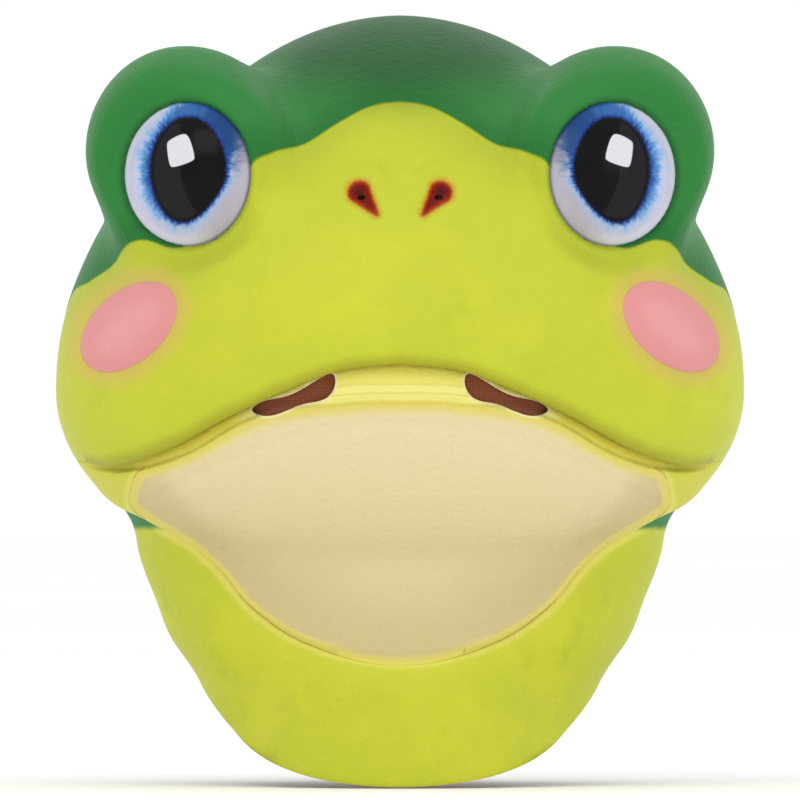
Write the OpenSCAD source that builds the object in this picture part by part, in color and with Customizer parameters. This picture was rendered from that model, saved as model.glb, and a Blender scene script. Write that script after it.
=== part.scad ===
// Full-head latex frog mask, worn like a puppet head: skins, eyes, pads, strap and flexing jaw.
// X+ is the viewer's right, the face looks along -Y, Z is up; the middle of the neck
// opening at the level of the lowest front rim is the origin. Millimetres.

/* [Overall] */
// width of the head across the cheeks
head_w = 275; // [220:1:340]
// height from the lowest front rim to the crown
head_h = 308; // [250:1:375]
// depth from the nose to the nape
head_d = 262; // [210:1:320]

/* [Skin] */
// latex wall thickness
skin_t = 2.2; // [1.6:0.1:3.6]
// clearance where one skin slides behind another
lap_gap = 1.1; // [0.7:0.1:2]
// glue line between a skin and what is stuck to it
glue_gap = 0.3; // [0.1:0.1:0.6]
// room left over the faceted inner face under a pad or anchor
pad_seat = 1.2; // [0.6:0.1:2]
// height the front rim rises to at the sides
rim_rise = 44; // [30:1:60]

/* [Eyes] */
// outer diameter of the eye lens
eye_d = 57.6; // [44:0.2:70]
// outward turn of each eye
eye_turn = 28; // [15:1:40]
// height of the lens crown above its rim
eye_crown = 13; // [8:0.5:18]
// wall of the lens and of the cup behind it
eye_wall = 1.4; // [1:0.1:2.4]
// clearance of the lens in its cup
eye_fit = 0.3; // [0.2:0.05:0.6]
// depth of the cup behind the skin
cup_depth = 9; // [6:0.5:14]

/* [Face] */
// long axis of a cheek oval, seen from the front
cheek_len = 45; // [30:1:60]
// short axis of a cheek oval, seen from the front
cheek_wid = 28.5; // [18:0.5:40]
// tilt of a cheek oval
cheek_tilt = 40; // [20:1:60]
// how far the cheek ovals stand proud
cheek_rise = 0.9; // [0.5:0.1:1.6]
// width of a nostril pit
nostril_d = 11; // [7:0.5:15]
// breathing hole in each nostril
vent_d = 3.2; // [2:0.2:5]

/* [Jaw] */
// height of the hinge line at the mouth corners
hinge_z = 119; // [100:1:145]
// angle of skin running up behind the upper lip
web_angle = 9; // [7:0.5:14]
// height of the vision slots at the nose end
slot_high = 1; // [0.7:0.05:1.3]
// thickness of the vision gauze
gauze_t = 0.5; // [0.3:0.1:1]

/* [Pads and strap] */
// thickness of the side, brow and chin pads
pad_t = 10; // [6:1:14]
// diameter of the crown pad
crown_pad_d = 104; // [80:2:130]
// level of the flat underside of the crown pad
crown_pad_z = 276; // [262:1:290]
// width of the elastic strap
strap_w = 25; // [20:1:32]
// thickness of the elastic strap
strap_t = 1.6; // [1.2:0.1:2.4]
// height of the strap above the origin
strap_z = 196; // [180:1:215]
// clearance of the slider on the strap
slider_fit = 0.3; // [0.2:0.05:0.6]
// top of the rear slit
slit_top = 106; // [90:1:118]
// distance from the slit to the outer corner of a flap
slit_reach = 38; // [28:1:44]
// width of the rear slit
slit_w = 3; // [1.6:0.1:4]

/* [Hidden] */
$fn = 72;

// scale of the sculpt against its 275 x 262 x 308 master
sx = head_w / 275;
sy = head_d / 262;
sz = head_h / 308;
s_min = min(sx, sy, sz);
hub = [0, 0, 170 * sz];
hinge_y = -2 * sy;
lap = skin_t + lap_gap;
eye_r = eye_d / 2;
cup_r = eye_r + eye_fit + eye_wall;
eye_at = [84 * sx, -97.5 * sy, 243 * sz];
eye_n = [sin(eye_turn), -cos(eye_turn), 0];
flap_gap = 1.5;
seam_gap = 0.35;
jaw_end = 85;
nape_start = 87;

// azimuths where the head's skins have their ribs of points, nose to mouth corner and on
HALF = [0, 5, 10, 14, 18, 22, 25, 28, 31, 35, 40, 45, 50, 54, 59, 65, 71, 77, 83, 87, 90, 92.5, 95];
FACE_AZ = concat([for (i = [22 : -1 : 1]) -HALF[i]], HALF);
HOOD_AZ = concat(FACE_AZ, [97.5], [for (i = [0 : 26]) 100 + i * 6], [260, 262.5]);

// heights of the seams round the head, [azimuth from the nose, height]
LIP = [[0, 167.5], [10, 165], [20, 156.5], [30, 147], [42, 135], [50, 130], [60, 127],
  [72, 129], [84, 129], [95, 124]];
CROWN_LINE = [[0, 272], [5, 271.3], [10, 269], [14, 265.5], [18, 261], [22, 255], [26, 251],
  [28, 244], [41, 214], [49, 217], [54, 213], [59, 207], [66, 201], [78, 195], [88, 165],
  [95, 124], [100, 112], [180, 112]];
CHIN = [[0, 49], [10, 50], [23, 55], [33, 63], [41, 73], [48, 84], [53, 91], [60, 98],
  [72, 106], [86, 113]];

function sstep(t) = let (u = min(1, max(0, t))) u * u * (3 - 2 * u);
function smin(a, b, k) = let (h = max(k - abs(a - b), 0) / k) min(a, b) - h * h * k / 4;
function egg(p, c, r) =
  let (q = [(p.x - c.x) / r.x, (p.y - c.y) / r.y, (p.z - c.z) / r.z])
  let (k = norm(q), g = norm([q.x / r.x, q.y / r.y, q.z / r.z]))
  k * (k - 1) / max(g, 0.000001);

// the neck column, wider at the top and flared into a bib in front
function neck(p) =
  let (w = 75 + 31 * sstep((p.z - 22) / 80))
  let (d = p.y < 0 ? 92 - 12 * sstep(p.z / 70) : 82 + 20 * sstep((p.z - 20) / 90))
  max((norm([p.x / w, p.y / d]) - 1) * min(w, d), p.z - 128);

// raised seat round one eye
function seat(p) =
  let (n = [sin(28), -cos(28), 0], q = p - [84, -97, 243] + 11 * n, h = q * n)
  egg([norm(q - h * n), 0, h], [0, 0, 0], [35, 35, 15]);

// the sculpt at master size: ovoid, cranium, muzzle, brow mounds, eye seats and neck
function sculpt(p) =
  let (b = egg(p, [0, -25, 157], [137.5, 104, p.z > 157 ? 131 : 80]))
  let (c = smin(b, egg(p, [0, 14, 196], [104, 112, 112]), 24))
  let (m = smin(c, egg(p, [0, -70, 186], [104, 66, 52]), 22))
  let (e = smin(m, norm(p - [85, -60, 254.5]) - 39.5, 18))
  smin(smin(e, seat(p), 24), neck(p), 10);
function field(p) = sculpt([abs(p.x) / sx, p.y / sy, p.z / sz]) * s_min;

// distance from o along d to the skin, t millimetres under its face
function hit(o, d, t, lo, hi, n) =
  let (m = (lo + hi) / 2)
  n == 0 ? m : field(o + d * m) + t < 0 ? hit(o, d, t, m, hi, n - 1) : hit(o, d, t, lo, m, n - 1);
function aim(a, e) = [cos(e) * sin(a), -cos(e) * cos(a), sin(e)];
function skin(a, e, t) = hub + aim(a, e) * hit(hub, aim(a, e), t, 40, 280, 13);
function out_at(a, z) = hit([0, 0, z], aim(a, 0), 0, 15, 220, 13);
function rise(a, z) = atan2(z - hub.z, out_at(a, z));
function front_at(x, z, t) = [x, -hit([x, 0, z], [0, -1, 0], t, 0, 220, 13), z];
function back_at(x, z, t) = [x, hit([x, 0, z], [0, 1, 0], t, 20, 220, 13), z];
function seam(table, a) = lookup(abs(a), table) * sz;
function rim(a) =
  let (b = abs(a))
  sz * (b < 90 ? rim_rise * (1 - cos(b)) : rim_rise + 22 * sin(2 * (b - 90)));

// a wall between an outer and an inner grid of points; i runs towards X+ in front, j runs up
module wall(go, gi, closed = false) {
  na = len(go);
  w = len(go[0]);
  n = na * w;
  last = closed ? na - 1 : na - 2;
  pts = concat([for (c = go) each c], [for (c = gi) each c]);
  cells = [for (i = [0 : last], j = [0 : w - 2]) let (k = (i + 1) % na)
    [i * w + j, i * w + j + 1, k * w + j + 1, k * w + j]];
  outer = [for (q = cells) each [[q[0], q[1], q[2]], [q[0], q[2], q[3]]]];
  inner = [for (f = outer) [f[0] + n, f[2] + n, f[1] + n]];
  low = [for (i = [0 : last]) let (k = (i + 1) % na)
    each [[i * w, k * w, k * w + n], [i * w, k * w + n, i * w + n]]];
  high = [for (i = [0 : last]) let (k = (i + 1) % na, u = w - 1)
    each [[i * w + u, k * w + u + n, k * w + u], [i * w + u, i * w + u + n, k * w + u + n]]];
  ends = closed ? [] : [for (j = [0 : w - 2]) let (m = (na - 1) * w + j)
    each [[j, j + n, j + 1 + n], [j, j + 1 + n, j + 1],
      [m, m + 1 + n, m + n], [m, m + 1, m + 1 + n]]];
  polyhedron(pts, concat(outer, inner, low, high, ends), convexity = 8);
}

// the same wall closed round and run up to one crown point
module cap(go, po, gi, pi) {
  na = len(go);
  w = len(go[0]);
  n = na * w;
  pts = concat([for (c = go) each c], [for (c = gi) each c], [po, pi]);
  outer = [for (i = [0 : na - 1], j = [0 : w - 2]) let (k = (i + 1) % na)
    each [[i * w + j, i * w + j + 1, k * w + j + 1], [i * w + j, k * w + j + 1, k * w + j]]];
  tip = [for (i = [0 : na - 1]) let (k = (i + 1) % na)
    [i * w + w - 1, 2 * n, k * w + w - 1]];
  inner = [for (f = outer) [f[0] + n, f[2] + n, f[1] + n]];
  tip_in = [for (f = tip) [f[0] + n, f[2] + n, 2 * n + 1]];
  low = [for (i = [0 : na - 1]) let (k = (i + 1) % na)
    each [[i * w, k * w, k * w + n], [i * w, k * w + n, i * w + n]]];
  polyhedron(pts, concat(outer, tip, inner, tip_in, low), convexity = 8);
}

// skin between two seam tables
function band(as, lo, hi, ne, t) = [for (i = [0 : len(as) - 1])
  let (e0 = rise(as[i], lo[i]), e1 = rise(as[i], hi[i]))
  [for (j = [0 : ne]) skin(as[i], e0 + (e1 - e0) * j / ne, t)]];

// an oval lying in the skin round azimuth a and height z, half sizes in degrees
function spot_ring(a, z, ra, re, t, n, rows) =
  let (e = rise(a, z))
  [for (i = [0 : n - 1]) [for (j = [0 : rows - 1]) let (f = 1 - j / rows, q = -360 * i / n)
    skin(a + ra * f * cos(q), e + re * f * sin(q), t)]];
module spot(a, z, ra, re, t0, t1, n = 20, rows = 2) {
  e = rise(a, z);
  cap(spot_ring(a, z, ra, re, t0, n, rows), skin(a, e, t0),
    spot_ring(a, z, ra, re, t1, n, rows), skin(a, e, t1));
}

module at_eye(side) {
  mirror([side < 0 ? 1 : 0, 0, 0]) translate(eye_at) rotate([0, 0, eye_turn])
    rotate([90, 0, 0]) children();
}
module sockets() {
  for (s = [-1, 1]) at_eye(s) translate([0, 0, -40]) cylinder(h = 80, r = cup_r + glue_gap);
}

// ---- skins on the head ----
module hood_shell() {
  as = HOOD_AZ;
  lo = [for (a = as) rise(a, seam(CROWN_LINE, a > 180 ? 360 - a : a) + seam_gap)];
  n = len(as) - 1;
  ne = 13;
  go = [for (i = [0 : n]) [for (j = [0 : ne - 1]) skin(as[i], lo[i] + (90 - lo[i]) * j / ne, 0)]];
  gi = [for (i = [0 : n]) [for (j = [0 : ne - 1])
    skin(as[i], lo[i] + (90 - lo[i]) * j / ne, skin_t)]];
  color("#3A763E") difference() {
    cap(go, skin(0, 90, 0), gi, skin(0, 90, skin_t));
    sockets();
  }
}

module face_shell() {
  as = [for (a = FACE_AZ) a * 94.6 / 95];
  lo = [for (a = as) seam(LIP, a)];
  hi = [for (a = as) seam(CROWN_LINE, a)];
  nx = 15 * sx;
  nz = 234 * sz;
  np = front_at(nx, nz, 0);
  color("#D5D655") difference() {
    wall(band(as, lo, hi, 11, 0), band(as, lo, hi, 11, skin_t));
    sockets();
    for (s = [-1, 1]) translate([s * np.x, np.y, np.z]) rotate([90 - 38, 0, 0]) {
      translate([0, 0, -skin_t * 0.55]) cylinder(h = 20, d = nostril_d);
      translate([0, 0, -12]) cylinder(h = 20, d = vent_d);
    }
  }
}

// height of the hinge edge of a rear flap at distance x from the slit
function flap_line(x) =
  slit_top * sz - (slit_top * sz - rim(158)) * abs(x) / (slit_reach * sx);
function flap_cut(a, z, n) = n == 0 ? z : flap_cut(a, flap_line(out_at(a, z) * sin(a)), n - 1);
module nape_shell() {
  as = concat([nape_start, 91], [for (i = [0 : 34]) 95 + i * 5], [269, 360 - nape_start]);
  bs = [for (a = as) a > 180 ? 360 - a : a];
  hi = [for (b = bs) (b < 95 ? seam(LIP, b) : seam(CROWN_LINE, b)) - seam_gap];
  lo = [for (b = bs) max(rim(b), b > 120 ? flap_cut(b, 80 * sz, 4) + flap_gap : 0)];
  color("#C1C837") wall(band(as, lo, hi, 6, 0), band(as, lo, hi, 6, skin_t));
}

module cheek_patch(side) {
  cx = 108.4 * sx;
  cz = 183 * sz;
  n = 28;
  function edge(f, q) = let (u = cheek_len / 2 * f * cos(q), v = cheek_wid / 2 * f * sin(q))
    [cx - u * cos(cheek_tilt) * sx + v * sin(cheek_tilt) * sx,
      cz + u * sin(cheek_tilt) + v * cos(cheek_tilt)];
  function ring(t) = [for (i = [0 : n - 1]) [for (j = [0 : 3])
    let (c = edge(1 - j / 4, 360 * i / n)) front_at(c.x, c.y, t)]];
  color("#E1AAA9") mirror([side < 0 ? 1 : 0, 0, 0])
    cap(ring(-cheek_rise), front_at(cx, cz, -cheek_rise), ring(-0.1), front_at(cx, cz, -0.1));
}
module cheek_patch_left() cheek_patch(-1);
module cheek_patch_right() cheek_patch(1);

// ---- eyes ----
lens_r = (eye_r * eye_r + eye_crown * eye_crown) / (2 * eye_crown);
module lens_cap(r, crown) {
  intersection() {
    translate([0, 0, crown - lens_r]) sphere(r = lens_r, $fn = 96);
    translate([0, 0, -6]) cylinder(h = 40, r = r);
  }
}
module eye_dome(side) {
  color("#E3E1E6") at_eye(side) difference() {
    lens_cap(eye_r, eye_crown);
    translate([0, 0, eye_crown - lens_r]) sphere(r = lens_r - eye_wall, $fn = 96);
    translate([0, 0, -20]) cylinder(h = 20, r = eye_r + 1);
  }
}
module eye_print(side) {
  color("#4D94D4") at_eye(side) difference() {
    intersection() {
      translate([0, 0, eye_crown - lens_r]) sphere(r = lens_r - eye_wall - glue_gap, $fn = 96);
      translate([0, 0, 0.6]) cylinder(h = 40, r = eye_r);
    }
    translate([0, 0, eye_crown - lens_r]) sphere(r = lens_r - eye_wall - glue_gap - 0.8, $fn = 96);
  }
}
module eye_cup(side) {
  color("#3E5A32") at_eye(side) rotate_extrude() polygon([[0, -cup_depth],
    [cup_r - 3, -cup_depth], [cup_r, -cup_depth + 3], [cup_r, 0.8], [cup_r - eye_wall, 0.8],
    [cup_r - eye_wall, -0.2], [cup_r - eye_wall - 2, -0.2],
    [cup_r - eye_wall - 2, -cup_depth + eye_wall], [0, -cup_depth + eye_wall]]);
}
module eye_dome_left() eye_dome(-1);
module eye_dome_right() eye_dome(1);
module eye_print_left() eye_print(-1);
module eye_print_right() eye_print(1);
module eye_cup_left() eye_cup(-1);
module eye_cup_right() eye_cup(1);

// ---- pads and strap inside the head ----
module crown_pad() {
  n = 36;
  t = skin_t + pad_seat;
  es = [30, 42, 54, 66, 78];
  ring = [for (i = [0 : n - 1]) [for (e = es) skin(360 * i / n, e, t)]];
  low = [for (i = [0 : n - 1]) [for (e = es) hub + aim(360 * i / n, e) * 24]];
  color("#7D7468") intersection() {
    cap(ring, skin(0, 90, t), low, hub + [0, 0, 24]);
    translate([0, 10 * sy, crown_pad_z * sz]) cylinder(h = 80, d = crown_pad_d);
  }
}
module pad(a0, a1, z0, z1, na, ne) {
  as = [for (i = [0 : na]) a0 + (a1 - a0) * i / na];
  t = skin_t + pad_seat;
  lo = [for (a = as) z0 * sz];
  hi = [for (a = as) z1 * sz];
  color("#7D7468") wall(band(as, lo, hi, ne, t), band(as, lo, hi, ne, t + pad_t));
}
module brow_pad() pad(-22, 22, 206, 232, 10, 3);
module side_pad_right() pad(72, 99, 174, 216, 9, 5);
module side_pad_left() mirror([1, 0, 0]) side_pad_right();

strap_back = 88 * sy;
strap_half = 44 * sx;
leg_end = [94 * sx, 38 * sy];
module strap_run(p, q) {
  d = q - p;
  translate([p.x, p.y, strap_z * sz - strap_w / 2]) rotate([0, 0, atan2(d.y, d.x)])
    translate([0, -strap_t / 2, 0]) cube([norm(d), strap_t, strap_w]);
}
module head_strap() {
  color("#26262A") union() {
    strap_run([-strap_half, strap_back], [strap_half, strap_back]);
    for (s = [-1, 1]) strap_run([s * strap_half, strap_back], [s * leg_end.x, leg_end.y]);
    for (s = [-1, 1]) translate([s * strap_half, strap_back, strap_z * sz - strap_w / 2])
      cylinder(h = strap_w, d = strap_t);
  }
}
module strap_anchor_right()
  color("#C9A06A") spot(112, strap_z * sz, 9, 9, skin_t + pad_seat, skin_t + pad_seat + 1.6);
module strap_anchor_left() mirror([1, 0, 0]) strap_anchor_right();
module slit_patch()
  color("#C9A06A") spot(180, (slit_top + 7) * sz, 6, 4, skin_t + glue_gap, skin_t + glue_gap + 1.4);
module strap_slider() {
  h = strap_w + 2 * slider_fit;
  g = strap_t + 2 * slider_fit;
  color("#1B1B1E") translate([0, strap_back, strap_z * sz]) difference() {
    cube([16, g + 3.2, h + 7], center = true);
    cube([40, g, h], center = true);
  }
}

// ---- jaw: skin running up behind the lip, chin and bib ----
// how far the jaw skin sits under the sculpt: tucked behind the lip and behind the nape edge
function tuck(a, v) = lap * max(1 - sstep(v / 0.25), sstep((abs(a) - 54) / 20));
function jaw_pt(a, v, t) =
  let (e0 = rise(a, seam(LIP, a)), e1 = rise(a, seam(CHIN, a)))
  let (p = skin(a, e0 + (e1 - e0) * max(v, 0), tuck(a, max(v, 0)) + t))
  let (r = norm([p.y - hinge_y, p.z - hinge_z * sz]))
  let (f = atan2(p.z - hinge_z * sz, hinge_y - p.y) - min(v, 0) * web_angle)
  v >= 0 ? p : [p.x, hinge_y - r * cos(f), hinge_z * sz + r * sin(f)];
function jaw_grid(as, vs, t) = [for (a = as) [for (v = vs) jaw_pt(a, v, t)]];
function slot_pt(x, z) = [x * sx, z * sz];
module slots() {
  h = 0.5 + slot_high / 2;
  m = [42, 155];
  half = [[59.6, 149.6], [54.4, 153.2], [44.8, 154.8], [38.8, 157.6], [32, 162], [26.4, 163.6],
    [25.2, 160.8], [26.4, 156.8], [30, 153.2], [38.8, 152], [44.8, 149.2], [50.4, 147.2],
    [55.2, 147.2]];
  for (s = [-1, 1]) rotate([90, 0, 0]) linear_extrude(height = 200)
    polygon([for (p = half) [s * p.x * sx, (m.y + (p.y - m.y) * h) * sz]]);
}
module jaw_shell() {
  as = [for (i = [0 : 42]) -jaw_end + i * 2 * jaw_end / 42];
  vs = [1, 0.87, 0.74, 0.61, 0.48, 0.35, 0.25, 0.17, 0.1, 0.04, 0, -0.34, -0.67, -1];
  color("#E2D4AD") difference() {
    wall(jaw_grid(as, vs, 0), jaw_grid(as, vs, skin_t));
    slots();
  }
}
module vision_gauze_right() {
  as = [for (i = [0 : 6]) 9 + i * 3.2];
  vs = [0.2, 0.12, 0.06, 0, -0.25, -0.5];
  color("#7C472F") wall(jaw_grid(as, vs, skin_t + 0.6), jaw_grid(as, vs, skin_t + 0.6 + gauze_t));
}
module vision_gauze_left() mirror([1, 0, 0]) vision_gauze_right();
module chin_pad() {
  as = [for (i = [0 : 8]) -20 + i * 5];
  vs = [0.82, 0.72, 0.62, 0.5];
  t = skin_t + glue_gap;
  color("#7D7468") wall(jaw_grid(as, vs, t), jaw_grid(as, vs, t + pad_t));
}
function bib(as, ne, t) = [for (a = as)
  let (e0 = rise(a, rim(a)), e1 = rise(a, seam(CHIN, a) - seam_gap))
  [for (j = [0 : ne]) skin(a, e0 + (e1 - e0) * j / ne, t + tuck(a, 1))]];
module collar_front() {
  as = [for (i = [0 : 34]) -jaw_end + i * 2 * jaw_end / 34];
  color("#D9D847") wall(bib(as, 6, 0), bib(as, 6, skin_t));
}

// ---- rear flaps either side of the slit ----
function flap_grid(xs, ne, t) = [for (x = xs)
  let (b = 180 - asin(x / 98 / sx), z0 = rim(b), z1 = flap_line(x))
  [for (j = [0 : ne]) back_at(x, z0 + (z1 - z0) * j / ne, t)]];
module neck_flap_right() {
  far = (slit_reach - 3) * sx;
  xs = [for (i = [0 : 8]) far + i * (slit_w / 2 - far) / 8];
  color("#C1C837") wall(flap_grid(xs, 5, 0), flap_grid(xs, 5, skin_t));
}
module neck_flap_left() mirror([1, 0, 0]) neck_flap_right();

hood_shell();
face_shell();
nape_shell();
cheek_patch_left();
cheek_patch_right();
eye_dome_left();
eye_dome_right();
eye_print_left();
eye_print_right();
eye_cup_left();
eye_cup_right();
crown_pad();
brow_pad();
side_pad_left();
side_pad_right();
head_strap();
strap_anchor_left();
strap_anchor_right();
slit_patch();
jaw_shell();
collar_front();
chin_pad();
vision_gauze_left();
vision_gauze_right();
neck_flap_left();
neck_flap_right();
strap_slider();
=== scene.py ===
"""Full-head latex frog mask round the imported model: painted skins, domed eyes, foam, strap and gauze.

The sculpt is worked out in millimetres, as in the part's source, and turned to metres in the mesh.
"""

import math

import bmesh
import bpy
import numpy as np
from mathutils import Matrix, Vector


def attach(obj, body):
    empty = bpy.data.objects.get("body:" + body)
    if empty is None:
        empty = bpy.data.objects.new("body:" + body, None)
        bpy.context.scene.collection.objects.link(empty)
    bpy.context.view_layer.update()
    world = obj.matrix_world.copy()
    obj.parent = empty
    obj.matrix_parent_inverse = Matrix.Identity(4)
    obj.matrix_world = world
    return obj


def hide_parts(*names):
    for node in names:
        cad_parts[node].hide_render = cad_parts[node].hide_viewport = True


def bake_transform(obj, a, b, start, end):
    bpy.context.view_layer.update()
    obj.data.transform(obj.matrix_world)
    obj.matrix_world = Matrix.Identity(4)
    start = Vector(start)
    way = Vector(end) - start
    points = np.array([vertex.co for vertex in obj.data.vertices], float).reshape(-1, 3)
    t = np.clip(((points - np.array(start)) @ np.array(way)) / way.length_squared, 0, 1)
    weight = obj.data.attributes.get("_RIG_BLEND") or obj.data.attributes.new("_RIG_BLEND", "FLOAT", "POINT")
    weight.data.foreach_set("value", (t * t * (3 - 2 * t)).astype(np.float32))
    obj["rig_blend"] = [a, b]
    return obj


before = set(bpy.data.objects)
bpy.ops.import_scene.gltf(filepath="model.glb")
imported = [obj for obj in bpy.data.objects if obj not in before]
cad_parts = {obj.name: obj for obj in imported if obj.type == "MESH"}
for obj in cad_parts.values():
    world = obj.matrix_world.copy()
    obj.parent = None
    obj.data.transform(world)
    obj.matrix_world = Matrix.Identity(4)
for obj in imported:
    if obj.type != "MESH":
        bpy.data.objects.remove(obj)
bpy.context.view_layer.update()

bl_info = {
    "name": "Frog head mask",
    "version": (1, 0, 0),
    "blender": (4, 5, 0),
    "location": "3D View > Sidebar > Frog mask",
    "description": "Builds the painted skins, eyes, pads and strap of a full-head frog mask",
    "category": "Add Mesh",
}

# ---- the sculpt, in millimetres ----
HUB = np.array([0.0, 0.0, 170.0])
HINGE = (-2.0, 119.0)
EYE_AT = np.array([84.0, -97.5, 243.0])
TURN = math.radians(28)
EYE_OUT = np.array([math.sin(TURN), -math.cos(TURN), 0.0])
EYE_BACK = np.array([math.cos(TURN), math.sin(TURN), 0.0])
LENS_R, LENS_CROWN = 28.8, 13.0
OPENING = 28.3  # radius of the hole in the skin that frames a lens
SOCKET_RISE = 1.6  # how far the skin round a lens stands over the lens's rim
WALL = 2.3
SEAM = 99.0  # azimuth where the jaw and collar skin meets the nape
WEB_END = 64.0  # azimuth where the web behind the lip ends
ARC = 122.0  # millimetres along the skin for each radian of climb near the mouth
LIP_SWELL, LIP_SWELL_AT, LIP_SWELL_REACH = 1.7, 5.0, 8.0
WAVE, WAVE_HEIGHT = 26.0, 0.35  # slow waves left by hand modelling
FAR = 60.0  # a distance that no coat of paint reaches
# the strap seen from above, across and back, and the height of its middle
STRAP_PATH = ((-94, 38), (-58, 74), (-50, 82), (-44, 86.4), (-36, 88), (0, 88), (36, 88), (44, 86.4),
              (50, 82), (58, 74), (94, 38))
STRAP_Z = 196.0
SLIT_TOP, SLIT_REACH, SLIT_HALF = 106.0, 38.0, 1.5

# seams round the head, azimuth from the nose in degrees and height
LIP = ((0, 167.5), (10, 165), (20, 156.5), (30, 147), (42, 135), (50, 130), (60, 127), (72, 129),
       (84, 129), (95, 124), (99, 122.5), (120, 118), (180, 116))
LINE = ((0, 272), (5, 271.3), (10, 269), (14, 265.5), (18, 261), (22, 255), (26, 250), (30, 240),
        (36, 222), (42, 214), (49, 217), (54, 213), (59, 207), (66, 201), (78, 193), (88, 165),
        (95, 124), (100, 108), (112, 103), (180, 103))
CHIN = ((0, 48.6), (8, 49.3), (17, 52), (24.5, 55.4), (32, 59.6), (39.5, 66), (46.5, 74.5), (51, 84),
        (55.5, 92.5), (60.5, 99), (65, 104), (72, 108), (86, 113), (99, 119))
# depth of the yellow web from the lip's edge down to the jaw's fold
FOLD = ((0, 14.6), (7, 13.5), (12, 12), (17, 8.4), (22, 5.8), (26, 4.8), (37, 5), (45, 4.4), (60, 3),
        (99, 2))

# outlines seen from the front, distance from the middle plane and height
FOLD_TOP = ((0, 153.4), (16, 153.2), (28, 152), (39, 151), (50, 149), (57, 147.2), (68, 142), (80, 134.6),
            (92, 129.4), (101, 126.6), (110, 124))
CREAM = ((-20, 153.4), *FOLD_TOP[:-1], (104.6, 125), (106.8, 120), (108.2, 114.5), (107, 109.6),
         (98, 103.6), (88, 98), (80, 92.6), (71, 84), (64, 74.5), (55, 66.4), (44, 59.6), (34, 55.2),
         (24, 52.2), (12, 49.6), (0, 48.8), (-20, 48.8))
SLOT = ((59.6, 149.6), (54.4, 153.2), (44.8, 154.8), (38.8, 157.6), (32, 162), (26.4, 164.6),
        (25.2, 160.8), (26.4, 156.8), (30, 153.2), (38.8, 152), (44.8, 149.2), (50.4, 147.2),
        (55.2, 147.2))
# painted highlight: the rounded catchlight in each iris, as seen from the front
GLINT = ((-8.4, 11.6), (-7.6, 13.2), (-2.4, 15.9), (0.4, 15.4), (2.9, 7), (2.4, 5), (-5.8, 2.3),
         (-7.3, 3.4))


def ease(t):
    """Smooth step from 0 to 1."""
    t = np.clip(t, 0.0, 1.0)
    return t * t * (3 - 2 * t)


def bell(t):
    """1 at 0, falling smoothly on both sides."""
    return np.exp(-t * t)


def soft_min(a, b, k):
    """The lesser of two distances, blended over a width k."""
    h = np.maximum(k - np.abs(a - b), 0.0) / k
    return np.minimum(a, b) - h * h * k / 4


def oval_mm(offsets, radii):
    """Signed distance, roughly, to an ellipse or ellipsoid, from the offsets along its own axes."""
    k = np.sqrt(sum((o / r) ** 2 for o, r in zip(offsets, radii)))
    g = np.sqrt(sum((o / r**2) ** 2 for o, r in zip(offsets, radii)))
    return k * (k - 1) / np.maximum(g, 1e-6)


def egg(p, centre, radii):
    """Signed distance, roughly, to an ellipsoid."""
    return oval_mm([p[..., i] - centre[i] for i in range(3)], radii)


def sculpt(p):
    """Signed distance, roughly, from the sculpt's face: ovoid, cranium, muzzle, brows, eye seats and neck."""
    p = np.stack([np.abs(p[..., 0]), p[..., 1], p[..., 2]], -1)
    y, z = p[..., 1], p[..., 2]
    shape = egg(p, (0, -25, 157), (137.5, 104.0, np.where(z > 157, 131.0, 80.0)))
    shape = soft_min(shape, egg(p, (0, 14, 196), (104.0, 112.0, 112.0)), 24)
    shape = soft_min(shape, egg(p, (0, -70, 186), (104.0, 66.0, 52.0)), 22)
    shape = soft_min(shape, np.linalg.norm(p - (85, -60, 254.5), axis=-1) - 39.5, 18)
    q = p - (84, -97, 243) + 11 * EYE_OUT
    h = q @ EYE_OUT
    flat = np.linalg.norm(q - h[..., None] * EYE_OUT, axis=-1)
    shape = soft_min(shape, oval_mm((flat, h), (35, 15)), 24)
    w = 75 + 31 * ease((z - 22) / 80) + 3.6 * bell((z - 58) / 13)
    d = np.where(y < 0, 92 - 12 * ease(z / 70), 82 + 20 * ease((z - 20) / 90))
    neck = (np.hypot(p[..., 0] / w, y / d) - 1) * np.minimum(w, d)
    return soft_min(shape, np.maximum(neck, z - 128), 10)


def hit(start, way, depth, low=5.0, high=290.0):
    """The point along way from start that lies depth under the sculpt's face."""
    low, high = np.full(way.shape[:-1], low), np.full(way.shape[:-1], high)
    for _ in range(24):
        mid = (low + high) / 2
        inside = sculpt(start + way * mid[..., None]) + depth < 0
        low, high = np.where(inside, mid, low), np.where(inside, high, mid)
    return start + way * low[..., None]


def aim(azimuth, climb):
    """Unit direction with that azimuth and elevation, in degrees."""
    a, e = np.radians(azimuth), np.radians(climb)
    return np.stack([np.cos(e) * np.sin(a), -np.cos(e) * np.cos(a), np.sin(e)], -1)


def outward(p):
    """Unit normal of the sculpt at p."""
    here, step = sculpt(p), 0.05
    n = np.stack([sculpt(p + step * axis) - here for axis in np.eye(3)], -1)
    return n / np.linalg.norm(n, axis=-1, keepdims=True)


def smooth_line(table, x):
    """Smooth curve through a table of knots."""
    k = np.array(table, float)
    slope = np.gradient(k[:, 1], k[:, 0])
    i = np.clip(np.searchsorted(k[:, 0], x, side="right") - 1, 0, len(k) - 2)
    h = k[i + 1, 0] - k[i, 0]
    u = np.clip((x - k[i, 0]) / h, 0, 1)
    return ((2 * u**3 - 3 * u**2 + 1) * k[i, 1] + (u**3 - 2 * u**2 + u) * slope[i] * h
            + (3 * u**2 - 2 * u**3) * k[i + 1, 1] + (u**3 - u**2) * slope[i + 1] * h)


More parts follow.
